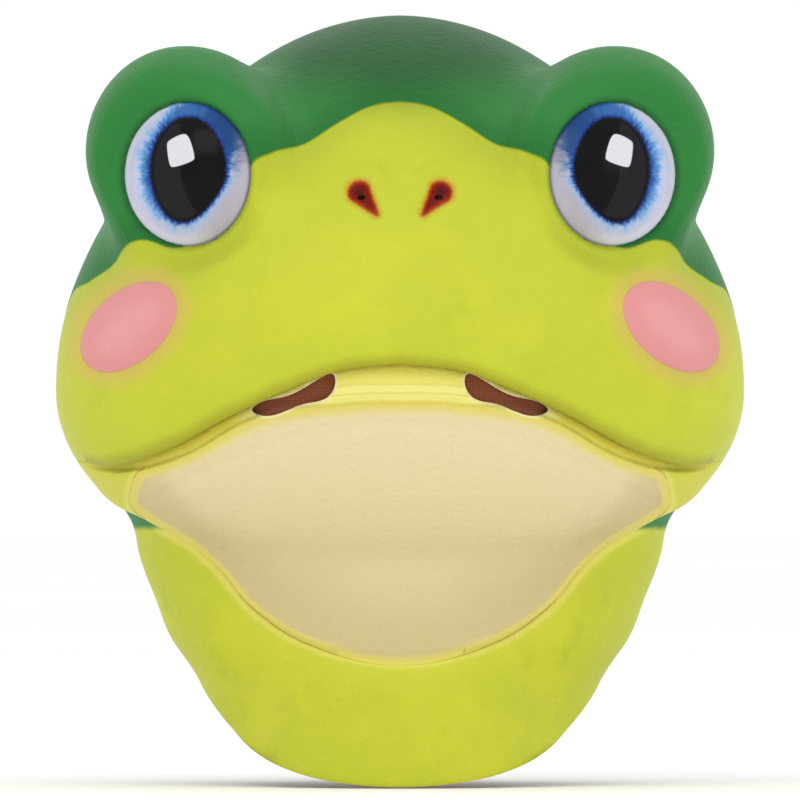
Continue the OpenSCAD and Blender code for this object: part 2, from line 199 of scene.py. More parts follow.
def climb_to(azimuth, z):
    """Elevation, seen from the hub, at which the face has height z on an azimuth."""
    axis = np.stack([0 * z, 0 * z, z], -1)
    p = hit(axis, aim(azimuth, 0 * z), 0.0, low=10.0, high=220.0)
    return np.degrees(np.arctan2(z - HUB[2], np.hypot(p[..., 0], p[..., 1])))


def rim(azimuth):
    """Height of the cut rim of the collar."""
    b = np.abs(azimuth)
    r = np.radians(b)
    return np.where(b < 90, 44 * (1 - np.cos(r)), 44 + 22 * np.sin(2 * (r - math.pi / 2)))


FLAP_DROP = (SLIT_TOP - float(rim(158.0))) / SLIT_REACH


def nape_foot(azimuth):
    """Lower edge of the nape: the rim, or the slanting hinge of a rear flap."""
    z = np.full(np.shape(azimuth), 80.0)
    for _ in range(6):
        axis = np.stack([0 * z, 0 * z, z], -1)
        x = hit(axis, aim(azimuth, 0 * z), 0.0, low=10.0, high=220.0)[..., 0]
        z = np.where(np.abs(azimuth) > 150, SLIT_TOP - FLAP_DROP * np.abs(x), 0.0)
    return np.maximum(rim(azimuth), z)


def outline_mm(points, x, z):
    """Signed distance to a closed outline, negative inside."""
    pts = np.array(points, float)
    near = np.full(np.shape(x), 1e9)
    inside = np.zeros(np.shape(x), bool)
    for a, b in zip(pts, np.roll(pts, -1, axis=0)):
        d = b - a
        t = np.clip(((x - a[0]) * d[0] + (z - a[1]) * d[1]) / (d @ d), 0, 1)
        near = np.minimum(near, np.hypot(x - a[0] - t * d[0], z - a[1] - t * d[1]))
        crosses = (a[1] > z) != (b[1] > z)
        inside ^= crosses & (x < a[0] + (z - a[1]) * d[0] / (d[1] if d[1] else 1e-9))
    return np.where(inside, -near, near)


def eased_outline(points, times=2):
    """The outline with its corners cut, so that it runs smoothly."""
    pts = np.array(points, float)
    for _ in range(times):
        after = np.roll(pts, -1, axis=0)
        pts = np.stack([pts * 0.75 + after * 0.25, pts * 0.25 + after * 0.75], 1).reshape(-1, 2)
    return pts


# ---- distances that the relief and the paint follow ----
def eye_plane(p):
    """Distance from an eye's axis, angle round it from the nose side, and height over its rim."""
    q = np.stack([np.abs(p[..., 0]), p[..., 1], p[..., 2]], -1) - EYE_AT
    inward, up = -(q @ EYE_BACK), q[..., 2]
    return np.hypot(inward, up), np.arctan2(up, inward), q @ EYE_OUT


def cheek_mm(p):
    """Signed distance to the slanting oval of a cheek."""
    dx, dz, t = np.abs(p[..., 0]) - 107.7, p[..., 2] - 182.5, math.radians(40)
    u, v = dz * math.sin(t) - dx * math.cos(t), dx * math.sin(t) + dz * math.cos(t)
    return np.where(p[..., 1] < 0, oval_mm((u, v), (22.5, 14.25)), FAR)


def nostril_mm(p):
    """Signed distance to a teardrop: round above, its tip down towards the middle."""
    x, z = np.abs(p[..., 0]), p[..., 2]
    dx, dz = -6.8, -8.6
    t = np.clip(((x - 16.0) * dx + (z - 235.6) * dz) / (dx * dx + dz * dz), 0, 1)
    d = np.hypot(x - 16.0 - t * dx, z - 235.6 - t * dz) - (4.5 - 3.9 * t)
    return np.where(p[..., 1] < 0, d, FAR)


def crown_shade_mm(p):
    """Signed distance, roughly, to the patch of painted shade over the crown, where the head's top turns up
    away from the light.
    """
    return 40 * (np.hypot(p[..., 0] / 84, (p[..., 2] - 306) / 40) - 1)


def arch_mm(p):
    """Signed distance to the folded wing over each nostril, negative under the fold."""
    d = np.hypot(np.abs(p[..., 0]) - 14.6, p[..., 2] - 237.6) - 10.6
    return np.where(p[..., 1] < -60, d, FAR)


def over_seam(table, azimuth, p, around):
    """Distance over a seam of the table, on a skin that stands about that far from the middle."""
    a = np.minimum(np.abs(azimuth), table[-1][0])
    slope = (smooth_line(table, a + 0.5) - smooth_line(table, a - 0.5)) / (math.radians(1) * around)
    return (p[..., 2] - smooth_line(table, a)) / np.hypot(1, slope)


def line_mm(azimuth, p):
    """Distance over the colour line, positive on the green side."""
    return over_seam(LINE, azimuth, p, 118)


def lip_mm(azimuth, p):
    """Distance over the edge of the upper lip."""
    return over_seam(LIP, azimuth, p, 120)


def chin_mm(azimuth, p):
    """Distance over the crease under the chin."""
    return over_seam(CHIN, azimuth, p, 100)


# ---- meshes laid as sheets and welded at their edges ----
DYES = {"lime": "#BDC434", "green": "#247A31", "cream": "#E2D3A2", "blush": "#D98F8E", "blue": "#3C7EC4"}


def linear(hex_value):
    """An sRGB hex colour as a linear one."""
    rgb = [int(hex_value[i : i + 2], 16) / 255 for i in (1, 3, 5)]
    return [c / 12.92 if c <= 0.04045 else ((c + 0.055) / 1.055) ** 2.4 for c in rgb] + [1.0]


def colour_of(shade):
    """The linear colour of "#RRGGBB", or of "family #RRGGBB" shifted as far as its family has been."""
    family, _, hex_value = shade.rpartition(" ")
    if not family:
        return linear(hex_value)
    now = getattr(bpy.context.scene.frog_mask, family)
    return [c * n / d for c, n, d in zip(linear(hex_value), now, linear(DYES[family]))] + [1.0]


def lay(bm, columns, rows, side):
    """Lays one sheet of quads whose corners keep the given column and row numbers."""
    column, row, face = (bm.verts.layers.float[n] for n in ("column", "row", "side"))
    grid = bmesh.ops.create_grid(bm, x_segments=len(columns) - 1, y_segments=len(rows) - 1, size=0.5)
    for v in grid["verts"]:
        v[column] = columns[round((v.co.x + 0.5) * (len(columns) - 1))]
        v[row] = rows[round((v.co.y + 0.5) * (len(rows) - 1))]
        v[face] = side
    faces = list({f for v in grid["verts"] for f in v.link_faces})
    inner = bm.faces.layers.int["inner"]
    for f in faces:
        f[inner] = int(side)
    if side:
        bmesh.ops.reverse_faces(bm, faces=faces)


def new_sheets():
    """An empty mesh whose corners and faces can keep their place in a sheet."""
    bm = bmesh.new()
    for name in ("column", "row", "side"):
        bm.verts.layers.float.new(name)
    bm.faces.layers.int.new("inner")
    return bm


def to_eye(verts, way):
    """Turns and moves corners made about the Z axis to stand about the axis of one eye."""
    turn = np.array([[EYE_BACK[0] * way, 0, EYE_OUT[0] * way], [EYE_BACK[1], 0, EYE_OUT[1]], [0, 1, 0]])
    for v in verts:
        v.co = Vector(turn @ np.array(v.co) + EYE_AT * (way, 1, 1))


def numbers(bm):
    """Column, row and side of every corner."""
    layers = [bm.verts.layers.float[n] for n in ("column", "row", "side")]
    return np.array([[v[k] for k in layers] for v in bm.verts]).T


def refine(bm, wanted):
    """Halves the cells whose corners are wanted."""
    bm.verts.ensure_lookup_table()
    edges = [e for e in bm.edges if wanted[e.verts[0].index] and wanted[e.verts[1].index]]
    bmesh.ops.subdivide_edges(bm, edges=edges, cuts=1, use_grid_fill=True)
    bm.verts.index_update()


def set_points(bm, points):
    """Moves every corner to its point."""
    for v, p in zip(bm.verts, points):
        v.co = p


def link(thing):
    """Adds an object, lamp or camera to the scene."""
    bpy.context.scene.collection.objects.link(thing)
    return thing


def to_object(bm, name, materials):
    """Turns a mesh in millimetres into a smooth object in metres, its inner side in the second finish."""
    bmesh.ops.remove_doubles(bm, verts=bm.verts, dist=0.004)
    bmesh.ops.dissolve_degenerate(bm, dist=0.002, edges=bm.edges)
    inner = bm.faces.layers.int.get("inner")
    for f in bm.faces:
        f.smooth = True
        f.material_index = f[inner] if inner and len(materials) > 1 else 0
    bmesh.ops.scale(bm, vec=(0.001,) * 3, verts=bm.verts)
    mesh = bpy.data.meshes.new(name)
    bm.to_mesh(mesh)
    bm.free()
    for m in materials:
        mesh.materials.append(m)
    obj = bpy.data.objects.new(name, mesh)
    return link(obj)


def cut(obj, cutter):
    """Cuts obj with another object, which is then thrown away."""
    change = obj.modifiers.new("cut", "BOOLEAN")
    change.operation, change.solver, change.object = "DIFFERENCE", "MANIFOLD", cutter
    graph = bpy.context.evaluated_depsgraph_get()
    mesh = bpy.data.meshes.new_from_object(obj.evaluated_get(graph))
    obj.modifiers.clear()
    obj.data = mesh
    bpy.data.objects.remove(cutter)


def corners(obj):
    """The object's points in millimetres."""
    co = np.empty(len(obj.data.vertices) * 3)
    obj.data.vertices.foreach_get("co", co)
    return co.reshape(-1, 3) * 1000


def write_field(obj, **fields):
    """Keeps a number for every point of the mesh under each given name."""
    for name, values in fields.items():
        kind = "FLOAT_VECTOR" if np.ndim(values) == 2 else "FLOAT"
        attribute = obj.data.attributes.new(name, kind, "POINT")
        key = "vector" if kind == "FLOAT_VECTOR" else "value"
        attribute.data.foreach_set(key, np.ascontiguousarray(values, np.float32).ravel())


def azimuth_of(p):
    """Azimuth of points, in degrees from the nose."""
    return np.degrees(np.arctan2(p[..., 0], -p[..., 1]))


# ---- upper skin ----
BACK = list(np.linspace(-180, -SEAM - 0.5, 63)) + [-SEAM - 0.2]
FRONT = list(np.linspace(-SEAM, SEAM, 273))
HEAD_AZ = np.array(BACK + FRONT + [-a for a in BACK[::-1]])
FOOT_ROWS, HEAD_ROWS = 24, 126
LIP_STEPS = (0, 0.12, 0.45, 1.0, 1.8, 2.9, 4.3, 6.0, 8.0, 10.2, 12.5)


def roll_off(s, radius):
    """How far a rounded edge of that radius falls back at distance s from the edge."""
    r = np.maximum(radius, 1e-4)
    t = np.clip((r - s) / r, 0, 1)
    return r * (1 - np.sqrt(np.maximum(1 - t * t, 0)))


def upper_base(column, row):
    """Azimuth, point on the sculpt, and elevations of the point, lip and foot for the upper skin."""
    number = np.arange(len(HEAD_AZ))
    a = np.interp(column, number, HEAD_AZ)
    t = row - FOOT_ROWS
    mouth = np.interp(column, number, climb_to(HEAD_AZ, smooth_line(LIP, np.abs(HEAD_AZ))))
    foot = np.interp(column, number, climb_to(HEAD_AZ, nape_foot(HEAD_AZ)))
    n = len(LIP_STEPS) - 1
    near = mouth + np.degrees(np.interp(t, np.arange(n + 1), LIP_STEPS) / ARC)
    top = near + (90 - near) * np.clip((t - n) / (HEAD_ROWS - n), 0, 1)
    low = foot + (mouth - foot) * np.clip(row / FOOT_ROWS, 0, 1)
    climb = np.where(t < 0, low, top)
    return a, hit(HUB, aim(a, climb), 0.0), climb, mouth, foot


def socket_pull(p):
    """The move that draws the skin round each eye down to a rolled rim just over the lens's edge."""
    r, _, q = eye_plane(p)
    reach = np.where(q > SOCKET_RISE, 11.5, 4.5)
    w = ease((31.0 + reach - r) / reach) * (q > -25) * (r < 44)
    target = SOCKET_RISE - roll_off(np.maximum(r - OPENING, 0), 1.6) - np.where(r < OPENING, 0.8, 0)
    side = np.where(p[..., 0] < 0, -1.0, 1.0)
    out = np.stack([side * EYE_OUT[0], EYE_OUT[1] + 0 * side, 0 * side], -1)
    return out * ((target - q) * w)[..., None]


def lumps(p):
    """Height of slow mirrored waves, like hand modelling."""
    x, y, z = np.abs(p[..., 0]) / WAVE, p[..., 1] / WAVE, p[..., 2] / WAVE
    return WAVE_HEIGHT * (np.sin(2.1 * x + 1.3 * z) * np.cos(1.7 * z - 0.9 * x)
                          + 0.6 * np.sin(2.9 * z + 1.9 * y) * np.sin(2.3 * x + 0.7)) / 1.6


def corner_fade(azimuth):
    """1 along the mouth, falling to 0 where the lip runs out at its corners."""
    return 1 - ease((np.abs(azimuth) - 58) / 17)


def upper_relief(a, p):
    """Height of the modelled details over the sculpt."""
    s, line, cheek, nose = lip_mm(a, p), line_mm(a, p), cheek_mm(p), nostril_mm(p)
    front = corner_fade(a)
    h = lumps(p)
    h += front * LIP_SWELL * bell((s - LIP_SWELL_AT) / LIP_SWELL_REACH) * (s > -2)
    crisp = ease((60 - np.abs(a)) / 15) * 0.25 + 0.3 * (1 - ease((np.abs(a) - 80) / 10))
    h += crisp * ease((line + 0.6) / 1.2) - 0.3 * crisp * bell(line / 1.6)
    h += 0.75 * ease((-cheek) / 2.2 + 0.2) - 0.35 * bell((cheek - 0.6) / 1.0)
    h -= 2.4 * ease(-nose / 3.2 + 0.35) - 0.35 * bell((nose - 2) / 1.8)
    arch = arch_mm(p)
    h -= (0.75 * ease(0.5 - arch / 1.4) - 0.3 * bell((arch - 1.4) / 1.3)) * ease((p[..., 2] - 239) / 7)
    # short double wrinkle under the outer corner of each eye
    ax, z = np.abs(p[..., 0]), p[..., 2]
    u, v = (ax - 79) * 0.86 - (z - 217.5) * 0.5, (ax - 79) * 0.5 + (z - 217.5) * 0.86
    near = (p[..., 1] < -20) * np.exp(-((u / 6.0) ** 4))
    h -= near * 0.45 * (bell((v + 1.0) / 0.9) + 0.7 * bell((v - 1.6) / 0.9))
    return h


def build_upper_skin(materials):
    """Hood, face and nape: an outer and an inner sheet welded at the lip, the rim and the side seams."""
    bm = new_sheets()
    total = FOOT_ROWS + HEAD_ROWS
    columns = list(range(len(HEAD_AZ)))
    lay(bm, columns, list(range(total + 1)), 0.0)
    # the inner sheet has fewer rows away from the lip
    few = (list(range(FOOT_ROWS + 7)) + list(range(FOOT_ROWS + 8, FOOT_ROWS + 28, 2))
           + list(range(FOOT_ROWS + 30, total, 5)) + [total])
    lay(bm, columns, few, 1.0)
    first, last = len(BACK), len(BACK) + len(FRONT) - 1
    column, row, _ = (bm.verts.layers.float[n] for n in ("column", "row", "side"))
    gone = [f for f in bm.faces
            if sum(v[row] for v in f.verts) / 4 < FOOT_ROWS
            and first < sum(v[column] for v in f.verts) / 4 < last]
    bmesh.ops.delete(bm, geom=gone, context="FACES")
    bm.verts.index_update()

    # finer cells where the modelling is small
    c, r, side = numbers(bm)
    a, p, *_ = upper_base(c, r)
    from_axis, _, over_rim = eye_plane(p)
    ring = (from_axis > 27.5) & (from_axis < 35) & (over_rim > -20)
    line = (np.abs(line_mm(a, p)) < 2.4) & (np.abs(a) < 82)
    fine = ring | line | (np.abs(cheek_mm(p)) < 3.0) | (nostril_mm(p) < 5) | (np.abs(arch_mm(p)) < 2.4)
    refine(bm, fine & (side < 0.5) & (r > FOOT_ROWS + 1))

    c, r, side = numbers(bm)
    a, p, climb, mouth, foot = upper_base(c, r)
    n = outward(p)
    # the sheets' own borders, where both sides meet
    rim_edge = (r < 0.01) & ((c < first + 0.01) | (c > last - 0.01))
    lip_edge = (np.abs(r - FOOT_ROWS) < 0.01) & (c > first - 0.01) & (c < last + 0.01)
    seam_edge = (r < FOOT_ROWS + 0.01) & ((np.abs(c - first) < 0.01) | (np.abs(c - last) < 0.01))
    border = rim_edge | lip_edge | seam_edge
    over_mouth = np.abs(a) < SEAM - 0.01
    front = corner_fade(a)
    s = np.maximum(np.where(over_mouth, np.radians(climb - mouth) * ARC, np.radians(climb - foot) * 110), 0)
    radius = np.where(over_mouth, 0.25 + LIP_SWELL * front, 1.0)
    fall = roll_off(s, radius)
    outer = upper_relief(a, p) - fall
    inner = -WALL + np.minimum(fall, WALL / 2)
    swell = front * LIP_SWELL * bell(LIP_SWELL_AT / LIP_SWELL_REACH)
    middle = np.where(over_mouth, swell - radius, -WALL / 2)
    height = np.where(border, middle, np.where(side > 0.5, inner, outer))
    # the inner face follows the pits so that the wall stays whole
    height = np.where(side > 0.5, height - 2.3 * bell(np.maximum(nostril_mm(p), 0) / 8), height)
    set_points(bm, p + n * height[:, None] + socket_pull(p))
    obj = to_object(bm, "upper_skin", materials)

    # round openings for the lenses and a breathing hole in each nostril
    tool = bmesh.new()
    for way in (-1, 1):
        made = bmesh.ops.create_cone(tool, cap_ends=True, segments=160, radius1=OPENING, radius2=OPENING,
                                     depth=60)
        for v in made["verts"]:
            v.co.x -= 0.5
        to_eye(made["verts"], way)
        made = bmesh.ops.create_cone(tool, cap_ends=True, segments=24, radius1=1.5, radius2=1.5, depth=30)
        nose = hit(np.array([15.4 * way, 0.0, 235.2]), np.array([0.0, -1.0, 0.0]), 0.0, low=5, high=220)
        for v in made["verts"]:
            x, y, z = v.co
            v.co = Vector((x + nose[0], nose[1] + z * 0.79 + y * 0.61, nose[2] + y * 0.79 - z * 0.61))
    bmesh.ops.recalc_face_normals(tool, faces=tool.faces)
    cut(obj, to_object(tool, "openings", []))
    p = corners(obj)
    a = azimuth_of(p)
    b = np.abs(a)
    from_axis, _, over_rim = eye_plane(p)
    # crown carries the distance to the crown's patch of painted shade
    write_field(obj, line=line_mm(a, p) * (1 - 0.75 * ease((b - 93) / 8)), cheek=cheek_mm(p),
                nostril=nostril_mm(p), crown=crown_shade_mm(p), lip=lip_mm(a, p) + FAR * ease((b - 66) / 16),
                socket=from_axis + np.where(over_rim < -25, FAR, 0))
    return obj


# ---- jaw, web behind the lip, and bib ----
JAW_AZ = np.concatenate([[-SEAM, -SEAM + 0.3], np.linspace(-SEAM + 1, SEAM - 1, 247),
                         [SEAM - 0.3, SEAM]])
BIB_ROWS, JAW_ROWS, WEB_ROWS = 34, 78, 12


def jaw_base(column, row):
    """Azimuth, point, normal, distance under the lip, and elevations of point and foot for the jaw skin."""
    az = JAW_AZ
    number = np.arange(len(az))
    b = np.abs(az)
    foot, crease = climb_to(az, rim(az)), climb_to(az, smooth_line(CHIN, b))
    mouth = climb_to(az, smooth_line(LIP, b))
    a = np.interp(column, number, az)
    foot, crease, mouth = (np.interp(column, number, e) for e in (foot, crease, mouth))
    t = np.clip(row / BIB_ROWS, 0, 1)
    u = np.clip((row - BIB_ROWS) / JAW_ROWS, 0, 1)
    climb = foot + (crease - foot) * t + (mouth - crease) * u
    s = np.radians(mouth - climb) * ARC
    b = np.abs(a)
    fade = corner_fade(a)
    fold = smooth_line(FOLD, b)
    wide = 9 - 3 * ease((b - 40) / 25)
    depth = fade * (1.7 * (1 - ease(s / wide)) + 2.0 * (1 - ease((s - fold + 1.3) / 1.5)))
    p = hit(HUB, aim(a, climb), depth)
    n = outward(p)
    # behind the lip the skin runs up on an arc about the jaw's hinge
    v = np.clip((row - BIB_ROWS - JAW_ROWS) / WEB_ROWS, 0, 1)
    angle = np.radians(9.5) * v * (1 - ease((b - 44) / 18)) + 0.012 * v
    y, z = p[:, 1] - HINGE[0], p[:, 2] - HINGE[1]
    ca, sa = np.cos(-angle), np.sin(-angle)
    p = np.stack([p[:, 0], y * ca - z * sa + HINGE[0], y * sa + z * ca + HINGE[1]], -1)
    n = np.stack([n[:, 0], n[:, 1] * ca - n[:, 2] * sa, n[:, 1] * sa + n[:, 2] * ca], -1)
    return a, p, n, s, climb, foot


def jaw_relief(a, p, s, row):
    """Height of the modelled details over the jaw and bib."""
    ax, z, b = np.abs(p[:, 0]), p[:, 2], np.abs(a)
    under = chin_mm(a, p)
    fade = 1 - ease((b - 70) / 20)
    h = lumps(p)
    # the chin's rolled lower edge stands over the bib
    chin = np.where(under > 0, -2.1 * (1 - ease(under / 2.6 + 0.15)), -2.1 * (1 - ease(-under / 16)))
    h += chin * fade - 0.5 * bell(under / 0.9) * fade
    h += 0.9 * bell((under - 5) / 4) * fade
    # soft creases across the cream and in the web
    crease = z - (143.6 - 2.4 * (ax / 34) ** 2 - 0.144 * np.maximum(ax - 34, 0))
    h -= 0.5 * bell(crease / 2.2) * (ax < 104) * (p[:, 1] < -20) * (row < BIB_ROWS + JAW_ROWS)
    h += 0.5 * bell((s - 9.6) / 1.3) * (b < 40) - 0.3 * bell((s - 7.2) / 1.0) * (b < 30)
    # vertical dents where the bib gathers
    low = ease(-under / 14) * (1 - ease((b - 75) / 20))
    h -= low * (1.6 * bell((ax - 56) / 9) - 1.0 * bell((ax - 76) / 8) + 0.9 * bell((ax - 22) / 12))
    return h


def build_jaw_skin(materials):
    """Jaw, web and bib: two sheets welded all round, with the two vision slots cut through."""
    bm = new_sheets()
    total = BIB_ROWS + JAW_ROWS + WEB_ROWS
    columns = list(range(len(JAW_AZ)))
    rows = [0, 0.12, 0.45] + list(range(1, total)) + [total - 0.5, total - 0.12, total]
    for side in (0.0, 1.0):
        lay(bm, columns, rows, side)
    column, row, _ = (bm.verts.layers.float[n] for n in ("column", "row", "side"))
    web = BIB_ROWS + JAW_ROWS
    gone = [f for f in bm.faces if sum(v[row] for v in f.verts) / 4 > web
            and abs(JAW_AZ[int(sum(v[column] for v in f.verts) / 4)]) > WEB_END]
    bmesh.ops.delete(bm, geom=gone, context="FACES")
    bm.verts.index_update()

    # finer cells along the crease under the chin and the web's fold
    c, r, side = numbers(bm)
    a, p, *_ = jaw_base(c, r)
    under = chin_mm(a, p)
    over_fold = p[:, 2] - smooth_line(FOLD_TOP, np.clip(np.abs(p[:, 0]), 0, 110))
    fine = (np.abs(under) < 3.2) & (np.abs(a) < 84) | (np.abs(over_fold) < 3) & (np.abs(a) < 60)
    refine(bm, fine & (side < 0.5) & (r > 1.5))

    c, r, side = numbers(bm)
    a, p, n, s, climb, foot = jaw_base(c, r)
    # the sheets' own borders, where both sides meet
    webbed = np.flatnonzero(np.abs(JAW_AZ) <= WEB_END)
    low_side, high_side = webbed[0], webbed[-1] + 1
    ends = (c < 0.01) | (c > len(JAW_AZ) - 1.01)
    short = (np.abs(r - web) < 0.01) & ((c <= low_side) | (c >= high_side))
    sides = (r > web - 0.01) & ((np.abs(c - low_side) < 0.01) | (np.abs(c - high_side) < 0.01))
    border = ends | (r > total - 0.01) | short | sides | (r < 0.01)
    h = jaw_relief(a, p, s, r)
    fall = roll_off(np.maximum(np.radians(climb - foot) * 130, 0), 1.0)
    inner = -WALL + np.minimum(fall, WALL / 2) + np.minimum(h, 0)
    height = np.where(border, -WALL / 2, np.where(side > 0.5, inner, h - fall))
    set_points(bm, p + n * height[:, None])
    obj = to_object(bm, "jaw_skin", materials)

    # the two vision slots
    tool = bmesh.new()
    shape = eased_outline(SLOT)
    for way in (-1, 1):
        loop = [tool.verts.new((x * way, -160, z)) for x, z in shape]
        front = tool.faces.new(loop)
        moved = bmesh.ops.extrude_face_region(tool, geom=[front])["geom"]
        far_end = [g for g in moved if isinstance(g, bmesh.types.BMVert)]
        bmesh.ops.translate(tool, verts=far_end, vec=(0, 100, 0))
    bmesh.ops.recalc_face_normals(tool, faces=tool.faces)
    cut(obj, to_object(tool, "slot_tool", []))
    p = corners(obj)
    a = azimuth_of(p)
    ax = np.abs(p[:, 0])
    front = p[:, 1] < -18
    cream = np.where(front, outline_mm(eased_outline(CREAM), ax, p[:, 2]), 40.0)
    slot = np.where(front, outline_mm(shape, ax, p[:, 2]), 40.0)
    under, b = chin_mm(a, p), np.abs(a)
    over_fold = np.where(front, p[:, 2] - smooth_line(FOLD_TOP, np.clip(ax, 0, 110)), -40.0)
    web = over_fold - FAR * ease((ax - 104) / 8)
    green = np.maximum(np.minimum(p[:, 2] - 102.5, -0.6 - under), np.where(b > 93, line_mm(a, p), -40))
    write_field(obj, cream=cream, slot=slot, chin=under, green=green, side=ax, web=web,
                lip=lip_mm(a, p) - FAR * ease((b - 66) / 14),
                crease=np.abs(under) + 9 * ease((b - 72) / 12),
                throat=np.maximum(under, 0) + FAR * ease((cream + 4.5) / 3.5),
                strip=np.minimum(web, ax - 64) - FAR * ease((ax - 106) / 6),
                cream_edge=np.abs(cream) + 9 * ease((101.5 - ax) / 5))
    return obj


# ---- rear flaps ----
def build_flap(name, way, materials):
    """The nape's skin between its slanting hinge and the rear slit, welded round its edges."""
    bm = new_sheets()
    columns, rows = list(range(29)), list(range(37))
    for side in (0.0, 1.0):
        lay(bm, columns, rows, side)
    c, r, side = numbers(bm)
    u, v = c / 28, r / 36
    squeeze = lambda t: t + 0.5 * (ease(t) - t)
    x = SLIT_HALF + (SLIT_REACH - 0.2 - SLIT_HALF) * (1 - squeeze(u))
    top = SLIT_TOP - FLAP_DROP * x
    b = 180 - np.degrees(np.arcsin(np.clip(x / 98, 0, 1)))
    low = rim(b)
    z = low + (top - low) * squeeze(v)
    axis = np.stack([x, 0 * z, z], -1)
    p = hit(axis, np.array([0.0, 1.0, 0.0]) + 0 * axis, 0.0, low=20, high=220)
    border = (c < 0.01) | (c > 27.99) | (r < 0.01) | (r > 35.99)
    near = np.minimum(np.abs(x - SLIT_HALF), z - low)
    fall = roll_off(np.maximum(near, 0), 0.9)
    height = np.where(border, -WALL / 2, np.where(side > 0.5, -WALL + np.minimum(fall, 1.1), lumps(p) - fall))
    set_points(bm, (p + outward(p) * height[:, None]) * (way, 1, 1))
    # the sheet runs from the outer corner to the slit, seen from behind; the left one is its mirror image
    if way < 0:
        bmesh.ops.reverse_faces(bm, faces=bm.faces[:])
    obj = to_object(bm, name, materials)
    q = corners(obj)
    away = np.full(len(q), FAR)
    write_field(obj, line=line_mm(azimuth_of(q), q) * 0.25, cheek=away, nostril=away, lip=away, socket=away,
                crown=away)
    return obj


# ---- eyes ----
def build_eye(name, way, material):
    """A domed lens, spun round its axis and closed behind, that carries the printed iris."""
    crown = bpy.context.scene.frog_mask.dome * 1000
    radius = (LENS_R**2 + crown**2) / (2 * crown)
    reach = math.asin(LENS_R / radius)
    out = [(radius * math.sin(reach * i / 48), radius * math.cos(reach * i / 48) + crown - radius)
           for i in range(49)]
    inside = radius - 2.4
    back = [(inside * math.sin(reach * i / 12) * 0.985, inside * math.cos(reach * i / 12) + crown - radius)
            for i in range(12, -1, -1)]
    edge = [(LENS_R - 0.05, -0.35), (LENS_R - 0.3, -0.7)]
    bm = bmesh.new()
    path = [bm.verts.new((x, 0, z)) for x, z in out + edge + back]
    edges = [bm.edges.new(pair) for pair in zip(path, path[1:])]
    bmesh.ops.spin(bm, geom=path + edges, cent=(0, 0, 0), axis=(0, 0, 1), angle=2 * math.pi,
                   steps=144, use_merge=True)
    bmesh.ops.remove_doubles(bm, verts=bm.verts, dist=0.003)
    bmesh.ops.recalc_face_normals(bm, faces=bm.faces)
    to_eye(bm.verts, way)
    bmesh.ops.recalc_face_normals(bm, faces=bm.faces)
    obj = to_object(bm, name, [material])
    p = corners(obj)
    # the print is laid out as it is seen from straight ahead of the face
    x, z = EYE_AT[0] - np.abs(p[:, 0]), p[:, 2] - EYE_AT[2]
    r, angle, _ = eye_plane(p)
    low = ease(-z / 20)
    px, pz = (x - 0.2 + 2.2 * low) / (1 - 0.17 * low), z - 1.6
    pupil = oval_mm((px, pz), (14.9, 20.6))
    t = np.arctan2(pz, px)
    blue = 2.2 + 2.8 * np.maximum(-np.cos(t), 0) + 9 * np.maximum(np.cos(t - math.radians(64)), 0) ** 4
    # the paler part of the pupil is a painted reflection, bounded by a soft curve left of the middle
    lobe = x + 3 - np.maximum(3.7 - z, 0) ** 2 * 0.0179
    write_field(obj, rim_gap=LENS_R - r, inner=x, pupil=pupil, iris=pupil - blue, lobe=lobe,
                glint=outline_mm(eased_outline(GLINT, 2), x, z),
                navy=np.hypot((x - 15) / 12, (z - 16) / 15) - 1,
                streak=np.stack([np.cos(t), np.sin(t), np.hypot(x, z) * 0.02], -1))
    return obj


# ---- foam pads, patches and gauze that follow the inside of the skin ----
def build_pad(name, a0, a1, z0, z1, depth, thick, material, cells=(36, 26), power=5, follow=None):
    """A soft-edged pad lying against the inside of the skin between two azimuths and two heights."""
    bm = new_sheets()
    for side in (0.0, 1.0):
        lay(bm, list(range(cells[0] + 1)), list(range(cells[1] + 1)), side)
    c, r, side = numbers(bm)
    u, v = 2 * c / cells[0] - 1, 2 * r / cells[1] - 1
    u, v = (np.sin(w * math.pi / 2) for w in (u, v))
    # rounded corners in plan
    uu, vv = u * np.sqrt(1 - 0.16 * v**4), v * np.sqrt(1 - 0.16 * u**4)
    a = (a0 + a1) / 2 + (a1 - a0) / 2 * uu
    z = (z0 + z1) / 2 + (z1 - z0) / 2 * vv
    if follow is None:
        climb = climb_to(a, z)
        p = hit(HUB, aim(a, climb), 0.0)
        n = outward(p)
    else:
        p, n = follow(a, z)
    full = ((1 - np.abs(u) ** power) * (1 - np.abs(v) ** power)).clip(0, 1) ** 0.4
    height = -(depth + thick / 2) + np.where(side > 0.5, -1, 1) * thick / 2 * full
    set_points(bm, p + n * height[:, None])
    return to_object(bm, name, [material])


def build_crown_pad(name, material):
    """A round pad under the crown with a flat underside."""
    bm = new_sheets()
    for side in (0.0, 1.0):
        lay(bm, list(range(45)), list(range(45)), side)
    c, r, side = numbers(bm)
    u, v = c / 22 - 1, r / 22 - 1
    x, y = u * np.sqrt(1 - v * v / 2), v * np.sqrt(1 - u * u / 2)
    edge = np.hypot(x, y)
    x, y = 51.5 * x, 10 + 51.5 * y
    flat = np.stack([x, y, 0 * x + 200], -1)
    top = hit(flat, np.array([0.0, 0.0, 1.0]) + 0 * flat, 3.6, low=20, high=140)[:, 2]
    low = 276 + 0.6 * (1 - edge**8)
    half = (top - low) / 2 * (1 - edge.clip(0, 1) ** 7).clip(0, 1) ** 0.42
    z = (top + low) / 2 + np.where(side > 0.5, -1, 1) * half
    z = np.where(side > 0.5, np.maximum(z, 276), z)
    set_points(bm, np.stack([x, y, z], -1))
    return to_object(bm, name, [material])


def jaw_inside(a, v):
    """Point and normal on the jaw skin; v is 0 at the chin's crease, 1 at the lip and more behind it."""
    column = np.interp(a, JAW_AZ, np.arange(len(JAW_AZ)))
    _, p, n, *_ = jaw_base(column, BIB_ROWS + JAW_ROWS * v)
    return p, n


